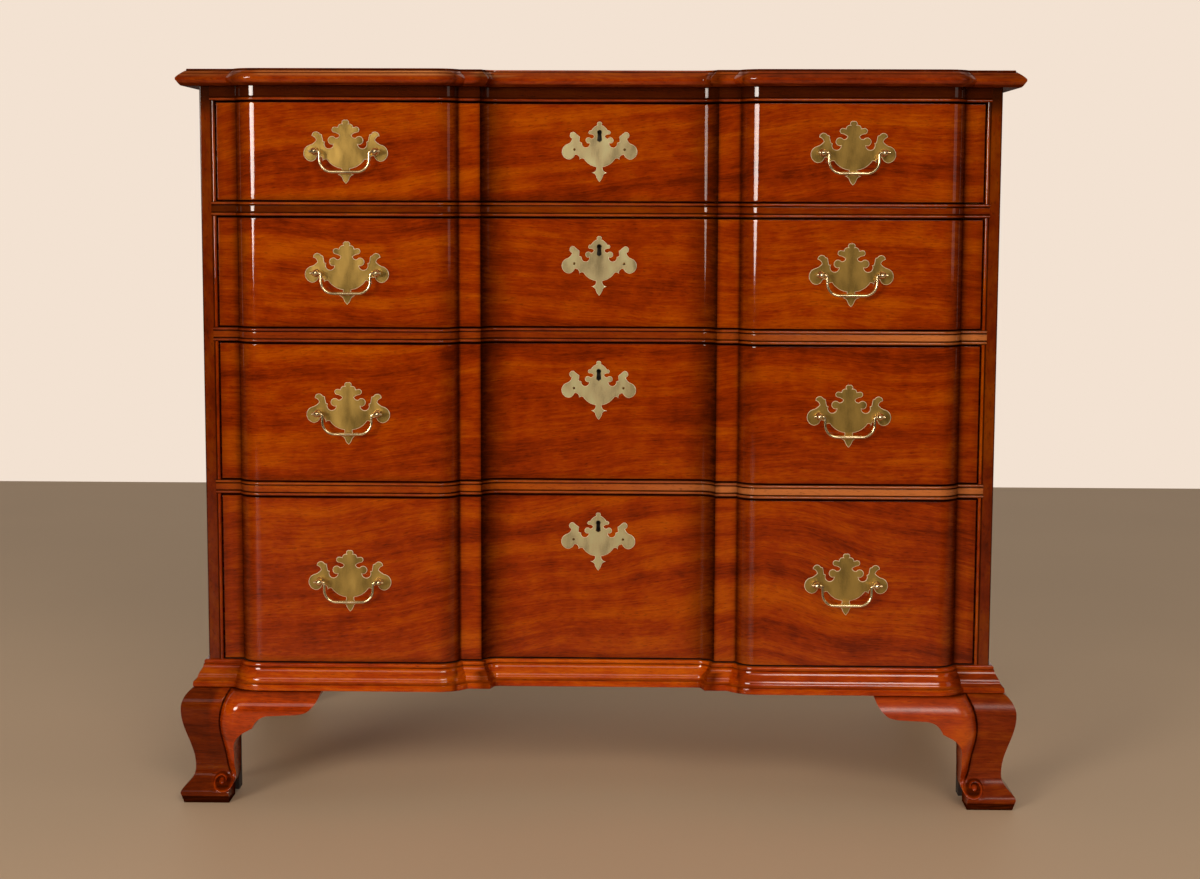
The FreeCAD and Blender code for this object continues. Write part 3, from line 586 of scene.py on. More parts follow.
def block_end(edge_x, side, offset, steps=14):
    """Points round a raised block's end, from its foot at edge_x to its crown."""
    centre = (edge_x - side * BLOCK_RADIUS * math.sin(TURN), BLOCK_RADIUS - BLOCK_RISE)
    radius = BLOCK_RADIUS + offset
    start = side * math.acos((offset + centre[1]) / radius)
    return [on_circle(centre, radius, start * (1 - step / steps)) for step in range(steps + 1)]


def half_front(offset, end, steps=12):
    """Plan points (x, y) of the front's right half, moved forward by offset."""
    hollow = RECESS_RADIUS - offset
    centre_y = RECESS_DEPTH - RECESS_RADIUS
    points = [(x * MM, RECESS_DEPTH - offset) for x in (0, 96, 108)]
    for step in range(steps + 1):
        angle = TURN * step / steps
        points.append((RECESS_FLAT + hollow * math.sin(angle), centre_y + hollow * math.cos(angle)))
    lip = points[-1][0] + (points[-1][1] + offset) / math.tan(TURN)
    inner = block_end(BLOCK_INNER, -1, offset)
    outer = block_end(BLOCK_OUTER, 1, offset)
    points += [(mix(lip, inner[0][0], share), -offset) for share in (0.0, 0.3, 0.7)] + inner
    points += [(mix(inner[-1][0], outer[-1][0], share), inner[-1][1]) for share in (0.04, 0.96)]
    return points + outer[::-1] + [(mix(outer[0][0], end, 0.5), -offset), (end, -offset)]


def front_line(offset, end):
    """Plan points of the whole front line, from left to right, in the part's frame."""
    right = half_front(offset, end)
    return [(x, y + FRONT_Y) for x, y in [(-x, y) for x, y in right[:0:-1]] + right]


def blocked_ring(offset, end, rear, z):
    """A blocked board's outline at height z: the front line, then the rear corners."""
    return [(x, y, z) for x, y in front_line(offset, end) + [(end, rear), (-end, rear)]]


def wrap(work, low, high):
    """Join two closed rings of vertices with faces."""
    for corners in zip(low, low[1:] + low[:1], high[1:] + high[:1], high):
        work.faces.new(corners)


def swept(rings):
    """A closed solid through rings of points (x, y, z) that all have the same count."""
    work = bmesh.new()
    rows = [[work.verts.new(point) for point in ring] for ring in rings]
    for low, high in zip(rows, rows[1:]):
        wrap(work, low, high)
    caps = [work.faces.new(rows[0]), work.faces.new(rows[-1])]
    bmesh.ops.remove_doubles(work, verts=work.verts, dist=MERGE)
    caps = [face for face in caps if face.is_valid]
    bmesh.ops.triangulate(work, faces=caps)
    return work


# Case

def bead(low):
    """Levels (z, offset) of a half-round bead that starts at height low."""
    return [(low + BEAD_WIDTH * step / 10, BEAD_PROUD * math.sin(math.pi * step / 10))
            for step in range(11)]


# How much painted sheen lies on each rail's flat, more to the right where more light falls: (place
# from the middle, level)
PAINTED_SHEEN = {"drawer_rail_2": ((-0.5, 0.04), (0.13, 0.05), (0.21, 0.18), (0.36, 0.52), (0.5, 0.55)),
          "drawer_rail_3": ((-0.5, 0.06), (-0.16, 0.04), (0.0, 0.15), (0.17, 0.50), (0.5, 0.44))}


def rail_piece(node, heads, shades):
    """A blocked rail with a bead along its foot and, with heads, along its head.

    shades are the levels of painted shade on its flat at the left end, the middle and the right
    end.
    """
    low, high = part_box(node)
    quirks = [low.z + BEAD_WIDTH, high.z - BEAD_WIDTH][:2 if heads else 1]
    levels = bead(low.z)[:-1]
    for z, up in zip(quirks, (1, -1)):
        steps = ((0.0, -0.5), (0.6, -0.1), (1.0, 0.0), (1.9, 0.0))
        levels += [(z + up * rise * MM, offset * MM) for rise, offset in steps[::up]]
    if heads:
        levels += bead(quirks[1])[1:]
    else:
        levels += [(mix(levels[-1][0], high.z, 0.4), 0.0), (high.z, 0.0)]
    rings = [blocked_ring(offset, RAIL_HALF, high.y, z) for z, offset in levels]

    # Glaze and painted shade: dark in the quirks beside the beads, along the rims at the gaps and
    # in the front's creases
    def level(point):
        quirk = min(abs(point.z - place) for place in quirks)
        groove = falling(quirk, 0.1, 1.4)
        gap = min(point.z - low.z, high.z - point.z if heads else 1.0)
        rim = falling(gap, 0.2, 1.3)
        return max(groove, rim) + 0.7 * crease_glaze(point.x)

    # Painted shade on the flat, by the levels in shades, and a little on the beads
    def shade(point):
        share = point.x / RAIL_HALF
        bead_part = point.z < quirks[0] or (heads and point.z > quirks[1])
        return 0.15 if bead_part else mix(shades[1], shades[2] if share > 0 else shades[0],
                                          abs(share))

    # Painted sheen: the flat is painted lighter towards the right, where more light falls, the
    # beads half as much
    def bleach(point):
        flat = low.z + 5 * MM < point.z < high.z - 5 * MM
        places = PAINTED_SHEEN.get(node)
        return along(places, point.x) * (1.0 if flat else 0.5) if places else 0.0

    hand_over(node.replace("rail", "rail_beaded"), swept(rings), "case", "mahogany",
              "mahogany_rails", node, glaze=level, shade=shade, bleach=bleach)


def top_levels():
    """Levels (z, inset from the nose) of the top's moulded edge."""
    under = ((0.0, 5.4), (2.2, 3.3), (4.4, 1.8), (6.6, 0.2), (7.6, 0.0), (8.8, 0.0))
    shoulder = ((0.1, 11.1), (0.4, 11.2), (1.8, 11.4), (2.4, 12.0))
    return ([(TOP_UNDER + z * MM, inset * MM) for z, inset in under]
            + [(mix(NOSE, TOP_SHOULDER, step / 8), 10.2 * MM * (step / 8) ** 1.3)
               for step in range(1, 9)]
            + [(TOP_SHOULDER + z * MM, inset * MM) for z, inset in shoulder])


def top_piece():
    """The top with its moulded edge, with painted highlight lines along the edge's crest."""
    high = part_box("top")[1]
    rings = [blocked_ring(TOP_OVERHANG - inset, high.x - inset, high.y, z)
             for z, inset in top_levels()]
    line_z = mix(NOSE, TOP_SHOULDER, 0.625)

    # Glaze and painted shade: a dark line under the shoulder, on the underside, along the moulding
    # and at the top arris, and in the front's creases
    def level(point):
        shoulder = 0.85 * falling(abs(point.z - TOP_LEVEL + 2.1 * MM), 0.2, 1.2)
        levels = [shoulder, 0.8 if point.z < TOP_UNDER + 2.4 * MM else 0.0]
        if in_front(point, 6) and point.z < TOP_LEVEL - 0.1 * MM:
            line = 0.75 * falling(abs(point.z - line_z), 0.3, 1.2)
            arris = 0.95 if point.z > TOP_LEVEL - 0.8 * MM else 0.0
            levels += [0.8 * crease_glaze(point.x), line, arris]
        return max(levels)

    # Painted highlights: bright lines along the nose's crest, over the left half of the front
    def bleach(point):
        share = (point.z - NOSE) / (TOP_SHOULDER - NOSE)
        line = along(((0.2, 0.0), (0.375, 0.7), (0.5, 0.7), (0.625, 0.0), (0.75, 0.85),
                      (0.875, 0.85), (1.0, 0.0)), share)
        blocked = along(((-0.46, 0.25), (-0.41, 0.0), (-0.38, 1.0), (-0.19, 0.8), (-0.16, 0.0),
                         (-0.14, 0.6), (-0.12, 0.6), (-0.10, 0.0)), point.x)
        return line * blocked if in_front(point, 6) else 0.0

    hand_over("moulded_top", swept(rings), "case", "mahogany", "mahogany_top", "top",
              smooth=28, glaze=level, bleach=bleach)


def base_levels():
    """Levels (z, projection) of the base moulding, from below upwards."""
    low = BASE_PROJECTION - 4.9 * MM
    levels = [(start + z * MM, BASE_PROJECTION - inset * MM) for start, z, inset in (
        (FOOT_TOP, 0.0, 0.9), (FOOT_TOP, 0.5, 0.3), (FOOT_TOP, 1.4, 0.0), (FASCIA, -1.6, 0.3),
        (FASCIA, -0.7, 0.6), (FASCIA, -0.1, 1.5), (FASCIA, 0.4, 2.6), (FASCIA, 3.2, 4.9))]
    levels += [(mix(FASCIA + 3.2 * MM, NECK, step / 9), mix(low, 5.6 * MM, swing(step / 9)))
               for step in range(1, 10)]
    return levels + [(start + z * MM, out * MM) for start, z, out in (
        (NECK, 0.3, 4.4), (NECK, 1.0, 4.7), (NECK, 1.9, 5.0), (BASE_TOP, -1.3, 4.8),
        (BASE_TOP, -0.5, 4.2), (BASE_TOP, 0.0, 3.2))]


def base_glaze(point):
    """Level of dark glazing and painted shade on the base moulding, in its grooves and in the
    front's creases.
    """
    lines = min(abs(point.z - FASCIA - 0.5 * MM), abs(point.z - NECK - 0.3 * MM))
    groove = 0.6 * falling(lines, 0.2, 1.4)
    return max(groove, 0.8 * crease_glaze(point.x * 0.985) if in_front(point, 3) else 0.0)


def base_front_piece():
    """The front's base moulding, which follows the blocks."""
    rings = []
    for z, projection in base_levels():
        outer = front_line(projection, HALF_WIDTH + projection)
        inner = front_line(0.0, HALF_WIDTH)[::-1]
        rings.append([(x, y, z) for x, y in outer + inner])
    hand_over("base_moulding_blocked", swept(rings), "case", "mahogany", "mahogany_base",
              "base_moulding_front", glaze=base_glaze)


def base_side_piece(hand):
    """A side's base moulding, mitred to the front's."""
    side = HANDS[hand]
    rings = []
    for z, projection in base_levels():
        outer = HALF_WIDTH + projection
        rings.append([(side * HALF_WIDTH, FRONT_Y, z), (side * outer, FRONT_Y - projection, z),
                      (side * outer, REAR_Y, z), (side * HALF_WIDTH, REAR_Y, z)])
    hand_over("base_moulding_return_" + hand, swept(rings), "case", "mahogany",
              "mahogany_returns", "base_moulding_" + hand, glaze=base_glaze)


def side_piece(hand):
    """A side of the case, with its front beads and its sharp edges eased."""
    node = "side_" + hand
    work = from_node(node)
    corner = [edge for edge in creases(work, 60)
              if all(near(abs(vertex.co.x), HALF_WIDTH) and near(vertex.co.y, FRONT_Y)
                     for vertex in edge.verts)]
    ease(work, corner, 2 * bpy.context.scene.chest_sizes.board_edge, steps=3)
    side = HANDS[hand]
    quirk_x = HALF_WIDTH - SIDE_THICKNESS + BEAD_WIDTH
    # Edges between which the glaze and the painted shade change
    for inset in (0.7, 2.0, 4.0):
        for x in (quirk_x + inset * MM, HALF_WIDTH - inset * MM):
            cut_through(work, 0, side * x)
    for drop in (12, 24, 36, 48, 60):
        cut_through(work, 2, TOP_UNDER - drop * MM)

    # Glaze and painted shade in the quirk beside the bead and along the outer corner
    def level(point):
        groove = falling(abs(abs(point.x) - quirk_x), 0.2, 1.6)
        outer = 0.8 * falling(HALF_WIDTH - abs(point.x), 0.6, 2.0)
        return max(groove, outer) * in_front(point, 1.2)

    # Painted shadow under the top's overhang, fading downwards; the stile's flat is painted darker
    # than its bead
    def shade(point):
        under = 0.97 * falling(TOP_UNDER - point.z, 12, 60)
        return max(under, 0.1 if abs(point.x) < quirk_x else 0.50) * in_front(point, 1.2)

    hand_over("side_board_" + hand, work, "case", "mahogany", "mahogany_sides", node,
              glaze=level, shade=shade)


# Feet

def ogee(z):
    """How far a foot's face stands out at height z."""
    bulge_height = FOOT_TOP - BULGE_DROP
    if z < TOE_HEIGHT:
        return mix(PAD_PROJECTION, TOE_PROJECTION, z / TOE_HEIGHT)
    if z < WAIST_HEIGHT:
        share = (WAIST_HEIGHT - z) / (WAIST_HEIGHT - TOE_HEIGHT)
        return mix(WAIST_PROJECTION, TOE_PROJECTION, swing(share ** TOE_QUICKNESS))
    if z < bulge_height:
        share = (z - WAIST_HEIGHT) / (bulge_height - WAIST_HEIGHT)
        return mix(WAIST_PROJECTION, BULGE_PROJECTION, swing(share))
    return BULGE_PROJECTION * math.sqrt(1 - ((z - bulge_height) / BULGE_TUCK) ** 2)


def block_relief(s, z):
    """Height of a front foot's raised block and its scroll above the ogee, and its level of dark
    glazing and painted shade.
    """
    radius = BLOCK_RISE / (1 - math.cos(FOOT_BLOCK_ANGLE))
    reach = radius * math.sin(FOOT_BLOCK_ANGLE)
    crease = along(CREASE, z)
    inside = s - crease
    fade = rising(z, 27, 52)
    rise = 0.0
    if inside > 0:
        centre = max(0.0, reach - inside)
        rise = (math.sqrt(radius ** 2 - centre ** 2) - radius * math.cos(FOOT_BLOCK_ANGLE)) * fade
    groove = (falling(abs(inside), 0.0, 1.9)) * rising(z, 30, 40)
    # Glaze and painted shade: dark in the carved crease, beside the block and outside it
    glaze = 0.95 * falling(abs(inside), 0.5, 3.2) * rising(z, 28, 38)
    glaze = max(glaze, 0.35 * falling(inside, 0.0, 9) * (inside > 0) * fade)
    glaze = max(glaze, 0.5 * falling(inside, -3, 0.0))
    height = rise - CREASE_DEPTH * groove

    # The scroll: a ridge that winds in from the block's inner edge to a round eye
    ds = s - VOLUTE_CENTRE[0]
    dz = z - VOLUTE_CENTRE[1]
    distance = math.hypot(ds, dz)
    angle = math.atan2(-dz, ds) % (2 * math.pi)
    decay = math.log(VOLUTE_REACH / VOLUTE_END) / (2 * math.pi)
    ridge = 0.0
    for turn in (angle - 2 * math.pi, angle, angle + 2 * math.pi):
        if -0.9 <= turn <= 2.05 * math.pi:
            line = VOLUTE_REACH * math.exp(-decay * turn)
            if turn < 0:
                line = VOLUTE_REACH * (1 - 0.02 * turn)
            width = mix(2.1, 1.5, max(0.0, turn) / (2 * math.pi)) * MM
            strength = between(turn, -0.9, 0.1)
            ridge = max(ridge, strength * (1 - between(abs(distance - line), 0.2 * width, width)))
    eye = math.sqrt(max(0.0, 1 - (distance / VOLUTE_EYE) ** 2))
    carved = rising(distance, 17, 9) * (1 - ridge) * (1 - eye)
    if distance < 22 * MM:
        height += VOLUTE_RIDGE_RISE * ridge + VOLUTE_EYE_RISE * eye - VOLUTE_CUT * carved
        # Painted shade in the scroll's carved hollows, less on its ridge and eye
        glaze = max(glaze, 0.85 * carved * falling(distance, 9, 15))
        glaze *= 1 - 0.7 * max(ridge, eye)
    return height, glaze


def spaced(low, high, fine_low, fine_high, fine, coarse):
    """Places from low to high, close together between fine_low and fine_high."""
    places = []
    for start, end, step in ((low, fine_low, coarse), (fine_low, fine_high, fine),
                             (fine_high, high, coarse)):
        count = max(1, round((end - start) / step)) if end > start else 0
        places += [mix(start, end, i / count) for i in range(count)]
    return places + [high]


def arc_points(start, halfway, end, steps=7):
    """Points of the arc through three plan points, without its end."""
    (ax, ay), (bx, by), (cx, cy) = start, halfway, end
    d = 2 * (ax * (by - cy) + bx * (cy - ay) + cx * (ay - by))
    ux = ((ax * ax + ay * ay) * (by - cy) + (bx * bx + by * by) * (cy - ay)
          + (cx * cx + cy * cy) * (ay - by)) / d
    uy = ((ax * ax + ay * ay) * (cx - bx) + (bx * bx + by * by) * (ax - cx)
          + (cx * cx + cy * cy) * (bx - ax)) / d
    radius = math.hypot(ax - ux, ay - uy)
    first = math.atan2(ay - uy, ax - ux)
    sweep = (math.atan2(cy - uy, cx - ux) - first + math.pi) % (2 * math.pi) - math.pi
    return [(ux + radius * math.cos(first + sweep * i / steps),
             uy + radius * math.sin(first + sweep * i / steps)) for i in range(steps)]


def bracket_outline(extra):
    """Sawn outline of a bracket foot's board as points (inset from the corner, height)."""
    # The blade runs past the board where nothing is sawn
    out = -60 * MM
    above = FOOT_TOP + 20 * MM
    wing = WING_LENGTH + extra
    cusp = (60 * MM + extra, FOOT_TOP - 44.3 * MM)
    ankle = 34.5 * MM + extra
    pad = 27 * MM + extra
    wing_low = FOOT_TOP - 29 * MM
    shoulder = (wing - 16.4 * MM, wing_low + 5.6 * MM)
    heel = (wing - 31 * MM, wing_low + 2.3 * MM)
    flat = (cusp[0] + 21 * MM, wing_low + 0.8 * MM)
    neck = (ankle + 13.5 * MM, cusp[1] - 6.6 * MM)
    shin = (ankle + 1 * MM, cusp[1] - 32 * MM)
    points = [(out, -20 * MM), (out, above), (wing, above)]
    points += arc_points((wing, FOOT_TOP), (wing - 5.6 * MM, wing_low + 16.5 * MM), shoulder)
    points += arc_points(shoulder, (wing - 23 * MM, wing_low + 3.4 * MM), heel)
    points += [heel]
    points += arc_points(flat, (cusp[0] + 8 * MM, cusp[1] + 11.4 * MM), cusp)
    points += [cusp]
    points += arc_points(neck, (ankle + 4.6 * MM, cusp[1] - 15.4 * MM), shin)
    points += [shin]
    points += arc_points((ankle, 32 * MM), (ankle - 3 * MM, 22 * MM), (pad, 15 * MM))
    points += [(pad, 15 * MM), (pad, -20 * MM)]
    return points


def saw(work, extra):
    """Cut a foot board, drawn as (inset, outward, height), to its bracket outline."""
    cutter = bmesh.new()
    rows = [[cutter.verts.new((s, depth, z)) for s, z in bracket_outline(extra)]
            for depth in (-80 * MM, 80 * MM)]
    wrap(cutter, *rows)
    cutter.faces.new(rows[0])
    cutter.faces.new(rows[1])
    board = from_bmesh("foot_blank", outward(work))
    blade = from_bmesh("foot_outline", outward(cutter))
    cut = board.modifiers.new("saw", "BOOLEAN")
    cut.operation = "INTERSECT"
    cut.solver = "EXACT"
    cut.object = blade
    sawn = bmesh.new()
    sawn.from_mesh(evaluated_mesh(board))
    for used in (board, blade):
        bpy.data.objects.remove(used)
    return sawn


def foot_blank(carved, mitred, extra):
    """A foot board before sawing: an outer face of rows and columns over a flat back."""
    if carved:
        rows = spaced(0.0, FOOT_TOP, 8 * MM, 46 * MM, 0.6 * MM, 1.6 * MM)
        columns = spaced(0.0, WING_LENGTH + 8 * MM, 6 * MM, 40 * MM, 0.6 * MM, 2.5 * MM)
    else:
        rows = spaced(0.0, FOOT_TOP, 9 * MM, 14 * MM, 1.0 * MM, 2.2 * MM)
        columns = spaced(0.0, WING_LENGTH + extra + 8 * MM, 0.0, 0.0, 1.0, 14 * MM)
    work = bmesh.new()
    outer = []
    inner = []
    for z in rows:
        out = ogee(z)
        line = [work.verts.new((-out if mitred else 0.0, out, z))]
        for s in columns[1:]:
            height = block_relief(s, z)[0] if carved else 0.0
            line.append(work.verts.new((s, out + height, z)))
        outer.append(line)
        first = FOOT_STOCK if mitred else 0.0
        inner.append([work.verts.new((first, -FOOT_STOCK, z)),
                      work.verts.new((columns[-1], -FOOT_STOCK, z))])
    for low, high in zip(outer, outer[1:]):
        for i in range(len(columns) - 1):
            work.faces.new((low[i], low[i + 1], high[i + 1], high[i]))
    for i in range(len(rows) - 1):
        for face in ((inner[i][0], inner[i][1], inner[i + 1][1], inner[i + 1][0]),
                     (outer[i][0], inner[i][0], inner[i + 1][0], outer[i + 1][0]),
                     (outer[i][-1], inner[i][-1], inner[i + 1][-1], outer[i + 1][-1])):
            work.faces.new(face)
    for i in (0, -1):
        work.faces.new(outer[i] + inner[i][::-1])
    return work


def foot_piece(place, hand, kind):
    """One board of a foot: a carved front face, or the flank that turns the corner from it."""
    side = HANDS[hand]
    carved = kind == "face"
    extra = REAR_FOOT_EXTRA if place == "rear" else 0.0
    work = saw(foot_blank(carved, place == "front", extra), extra)
    glaze, shade = (work.verts.layers.float.new(label) for label in ("glaze", "shade"))
    for vertex in work.verts:
        s, out, z = vertex.co
        # Glaze and painted shade: dark at the pad near the floor, at the crown under the base
        # moulding, in the carving, near the corner and over the board's inner face
        pad = 0.97 * falling(z, 8.5, 9.5)
        crown = 0.8 * between(z, FOOT_TOP - 3 * MM, FOOT_TOP)
        carving = block_relief(s, z)[1] if carved and out > -FOOT_STOCK / 2 else 0.0
        carving = max(carving, 0.35 * falling(s, 0.0, 16))
        inner = 0.9 if out < -FOOT_STOCK / 2 else 0.0
        vertex[glaze] = max(pad, crown, carving, inner)
        # Painted shade over the flank beyond the crease and low down at the ankle, strongest on the
        # left foot, which less light reaches; the scroll is left lighter
        beyond = along(CREASE, z) - s
        low_down = falling(z, 62, 105)
        flank = max(rising(beyond, 9, 17), low_down * rising(beyond, -1, 0.0))
        deep = 1.0 if hand == "left" else 0.35
        flank = 0.5 * flank if carved else 0.35
        scroll = math.hypot(s - VOLUTE_CENTRE[0], z - VOLUTE_CENTRE[1]) if carved else 1.0
        deep *= mix(0.15, 1.0, rising(scroll, 9, 15))
        vertex[shade] = deep * max(flank, 0.4 * falling(z, 20, 60))
        if carved:
            vertex.co = (side * (HALF_WIDTH - s), FRONT_Y - out, z)
        elif place == "front":
            vertex.co = (side * (HALF_WIDTH + out), FRONT_Y + s, z)
        else:
            vertex.co = (side * (HALF_WIDTH + out), REAR_Y - s, z)
    node = f"foot_{place}_{hand}_{kind}"
    finish = "mahogany_foot_" + hand if carved else "mahogany_returns"
    hand_over(node + "_carved", work, "case", "mahogany", finish, node, smooth=50)


# Drawers

def drawer_front_piece(number):
    """A drawer's blocked front with its outer edges rounded."""
    node = f"drawer_{number}_front"
    low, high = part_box(node)
    work = from_node(node)
    # Edges between which the glaze and the painted shade change, most of them beside the blocks'
    # turns
    for x in (96, 104, 112, 145, 149, 160, 165, 189, 194, 201, 405, 412, 440, 447, 452):
        for side in (-1, 1):
            cut_through(work, 0, side * x * MM)
    for z in (low.z + 2.2 * MM, low.z + 4.5 * MM, low.z + 9 * MM, high.z - 2.2 * MM):
        cut_through(work, 2, z)

    def outer(place):
        return near(place.z, low.z) or near(place.z, high.z) or near(abs(place.x), high.x)

    chosen = []
    for edge in creases(work, 50):
        start, end = (vertex.co for vertex in edge.verts)
        runs_back = near(start.x, end.x) and near(start.z, end.z)
        at_front = max(start.y, end.y) < high.y - 0.5 * MM
        if outer(start) and outer(end) and at_front and not runs_back:
            chosen.append(edge)
    ease(work, chosen, bpy.context.scene.chest_sizes.drawer_edge, steps=3)
    key_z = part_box(f"drawer_{number}_escutcheon")[1].z - KEYHOLE_DROP

    def level(point):
        # Painted shade: behind the front, round the keyhole, the wood is painted dark so that the
        # keyhole reads black
        if point.y > FRONT_Y + RECESS_DEPTH + 0.5 * MM:
            return float(abs(point.x) < 6 * MM and abs(point.z - key_z) < 12 * MM)
        # Painted shade along the rims beside the gaps, and darker towards the bottom edge, more on
        # the left where less light falls
        rim = min(point.z - low.z, high.z - point.z, high.x - abs(point.x))
        line = falling(rim, 0.3, 1.2)
        foot = mix(0.42, 0.16, between(point.x, -0.1, 0.2))
        foot *= falling(point.z - low.z, 0.8, 9)
        return max(crease_glaze(point.x), line, foot)

    hand_over(f"drawer_{number}_blocked_front", work, f"drawer_{number}", "mahogany",
              f"figured_mahogany_{number}", node, smooth=40, glaze=level)


def islands(work):
    """The separate solids of a mesh, as lists of vertices."""
    waiting = set(work.verts)
    found = []
    while waiting:
        group = [waiting.pop()]
        for vertex in group:
            for edge in vertex.link_edges:
                other = edge.other_vert(vertex)
                if other in waiting:
                    waiting.discard(other)
                    group.append(other)
        found.append(group)
    return found


def keep_solids(work, wanted):
    """Delete the solids whose (low, high) corners wanted(low, high) refuses."""
    for group in islands(work):
        low = Vector([min(v.co[i] for v in group) for i in range(3)])
        high = Vector([max(v.co[i] for v in group) for i in range(3)])
        if not wanted(low, high):
            bmesh.ops.delete(work, geom=group, context="VERTS")


def front_loops(work, front):
    """The closed edges of the faces at depth front, widest first, as lists of (x, z)."""
    def at_front(face):
        return all(near(vertex.co.y, front) for vertex in face.verts)

    following = {}
    for edge in work.edges:
        if len([face for face in edge.link_faces if at_front(face)]) == 1:
            start, end = edge.verts
            following.setdefault(start, []).append(end)
            following.setdefault(end, []).append(start)
    loops = []
    while following:
        loop = [next(iter(following))]
        while True:
            onward = [vertex for vertex in following.pop(loop[-1]) if vertex in following]
            if not onward:
                break
            loop.append(onward[0])
        loops.append([(vertex.co.x, vertex.co.z) for vertex in loop])
    return sorted(loops, key=lambda loop: max(loop)[0] - min(loop)[0], reverse=True)


def clearance(point, loop):
    """Distance from a point to the nearest edge of a closed loop."""
    nearest = 1.0
    for (ax, az), (bx, bz) in zip(loop, loop[1:] + loop[:1]):
        dx, dz = bx - ax, bz - az
        share = ((point[0] - ax) * dx + (point[1] - az) * dz) / (dx * dx + dz * dz)
        share = min(1.0, max(0.0, share))
        nearest = min(nearest, math.hypot(point[0] - ax - share * dx, point[1] - az - share * dz))
    return nearest


def inset_loop(loop, width):
    """A loop's inset outline, and for each of the loop's points its place on that outline."""
    count = len(loop)
    area = sum(loop[i - 1][0] * loop[i][1] - loop[i][0] * loop[i - 1][1] for i in range(count))
    turn = 1 if area > 0 else -1
    moved = []
    for i in range(count):
        (ax, az), (bx, bz), (cx, cz) = loop[i - 1], loop[i], loop[(i + 1) % count]
        first = Vector((az - bz, bx - ax)).normalized() * turn
        second = Vector((bz - cz, cx - bx)).normalized() * turn
        both = (first + second) / max(0.35, 1 + first.dot(second))
        moved.append((bx + both.x * width, bz + both.y * width))
    sound = [i for i in range(count) if clearance(moved[i], loop) > 0.96 * width]
    places = [min(range(len(sound)), key=lambda k: min(abs(sound[k] - i),
                                                       count - abs(sound[k] - i)))
              for i in range(count)]
    return [moved[i] for i in sound], places


def filed_plate(work, outline, holes, front, back, bevel):
    """Add a flat plate with a filed bevel round its front, and a painted glint along the bevel's
    outer edge.
    """
    rubbed = work.verts.layers.float.get("rubbed") or work.verts.layers.float.new("rubbed")
    rim, places = inset_loop(outline, bevel)
    outer = [work.verts.new((x, front + 0.7 * bevel, z)) for x, z in outline]
    for vertex in outer:
        vertex[rubbed] = 1.0
    behind = [work.verts.new((x, back, z)) for x, z in outline]
    inner = [work.verts.new((x, front, z)) for x, z in rim]
    count = len(outline)
    for i in range(count):
        j = (i + 1) % count
        work.faces.new((outer[i], outer[j], behind[j], behind[i]))
        corners = [outer[i], outer[j], inner[places[j]]]
        if places[i] != places[j]:
            corners.append(inner[places[i]])
        work.faces.new(corners)
    fronts = [inner]
    backs = [behind]
    for hole in holes:
        fore, aft = ([work.verts.new((x, y, z)) for x, z in hole] for y in (front, back))
        wrap(work, fore, aft)
        fronts.append(fore)
        backs.append(aft)
    for rings in (fronts, backs):
        edges = [work.edges.get((ring[i - 1], ring[i])) or work.edges.new((ring[i - 1], ring[i]))
                 for ring in rings for i in range(len(ring))]
        bmesh.ops.triangle_fill(work, use_beauty=True, edges=edges)


def plates_piece(number):
    """The two backplates of a drawer's pulls, with filed bevels."""
    node = f"drawer_{number}_pull_mounts"
    bevel = bpy.context.scene.chest_sizes.plate_bevel
    work = bmesh.new()
    for side in (-1, 1):
        source = from_node(node)
        keep_solids(source, lambda low, high: high.x - low.x > 50 * MM and side * low.x > 0)
        front = min(vertex.co.y for vertex in source.verts)
        back = max(vertex.co.y for vertex in source.verts)
        filed_plate(work, front_loops(source, front)[0], [], front, back, bevel)
        source.free()
    hand_over(f"drawer_{number}_pull_plates", work, f"drawer_{number}", "brass",
              "brushed_brass", node, smooth=25)


def middle(points):
    """The middle of a group of points, and its width."""
    spans = [(min(place[i] for place in points), max(place[i] for place in points))
             for i in (0, 2)]
    return (sum(spans[0]) / 2, sum(spans[1]) / 2), spans[0][1] - spans[0][0]


def nail_heads(number):
    """The middle of the front of each of an escutcheon's nails."""
    node = f"drawer_{number}_escutcheon"
    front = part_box(node)[0].y
    rims = [[v.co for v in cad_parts[node].data.vertices
             if v.co.y < front + 0.1 * MM and side * v.co.x > 0] for side in (-1, 1)]
    return [(x, front, z) for (x, z), width in map(middle, rims)]


def escutcheon_piece(number):
    """An escutcheon's plate with its keyhole and a filed bevel, whole under its nails."""
    node = f"drawer_{number}_escutcheon"
    source = from_node(node)
    back = FRONT_Y + RECESS_DEPTH
    front = back - ESCUTCHEON_THICKNESS
    outline, keyhole = front_loops(source, front)[:2]
    source.free()
    work = bmesh.new()
    filed_plate(work, outline, [keyhole], front, back,
                bpy.context.scene.chest_sizes.escutcheon_bevel)
    hand_over(f"drawer_{number}_escutcheon_plate", work, f"drawer_{number}", "brass",
              "pale_brass", node, smooth=25)


# Turned brass, made by Geometry Nodes on the points where it stands

POST_PROFILE = ((0.0, 0.05), (0.02, 0.36), (0.065, 0.61), (0.13, 0.79), (0.22, 0.87),
                (0.31, 0.79), (0.36, 0.68), (0.40, 0.58), (0.50, 0.55), (0.66, 0.60),
                (0.76, 0.76), (0.83, 1.0), (1.0, 1.0))


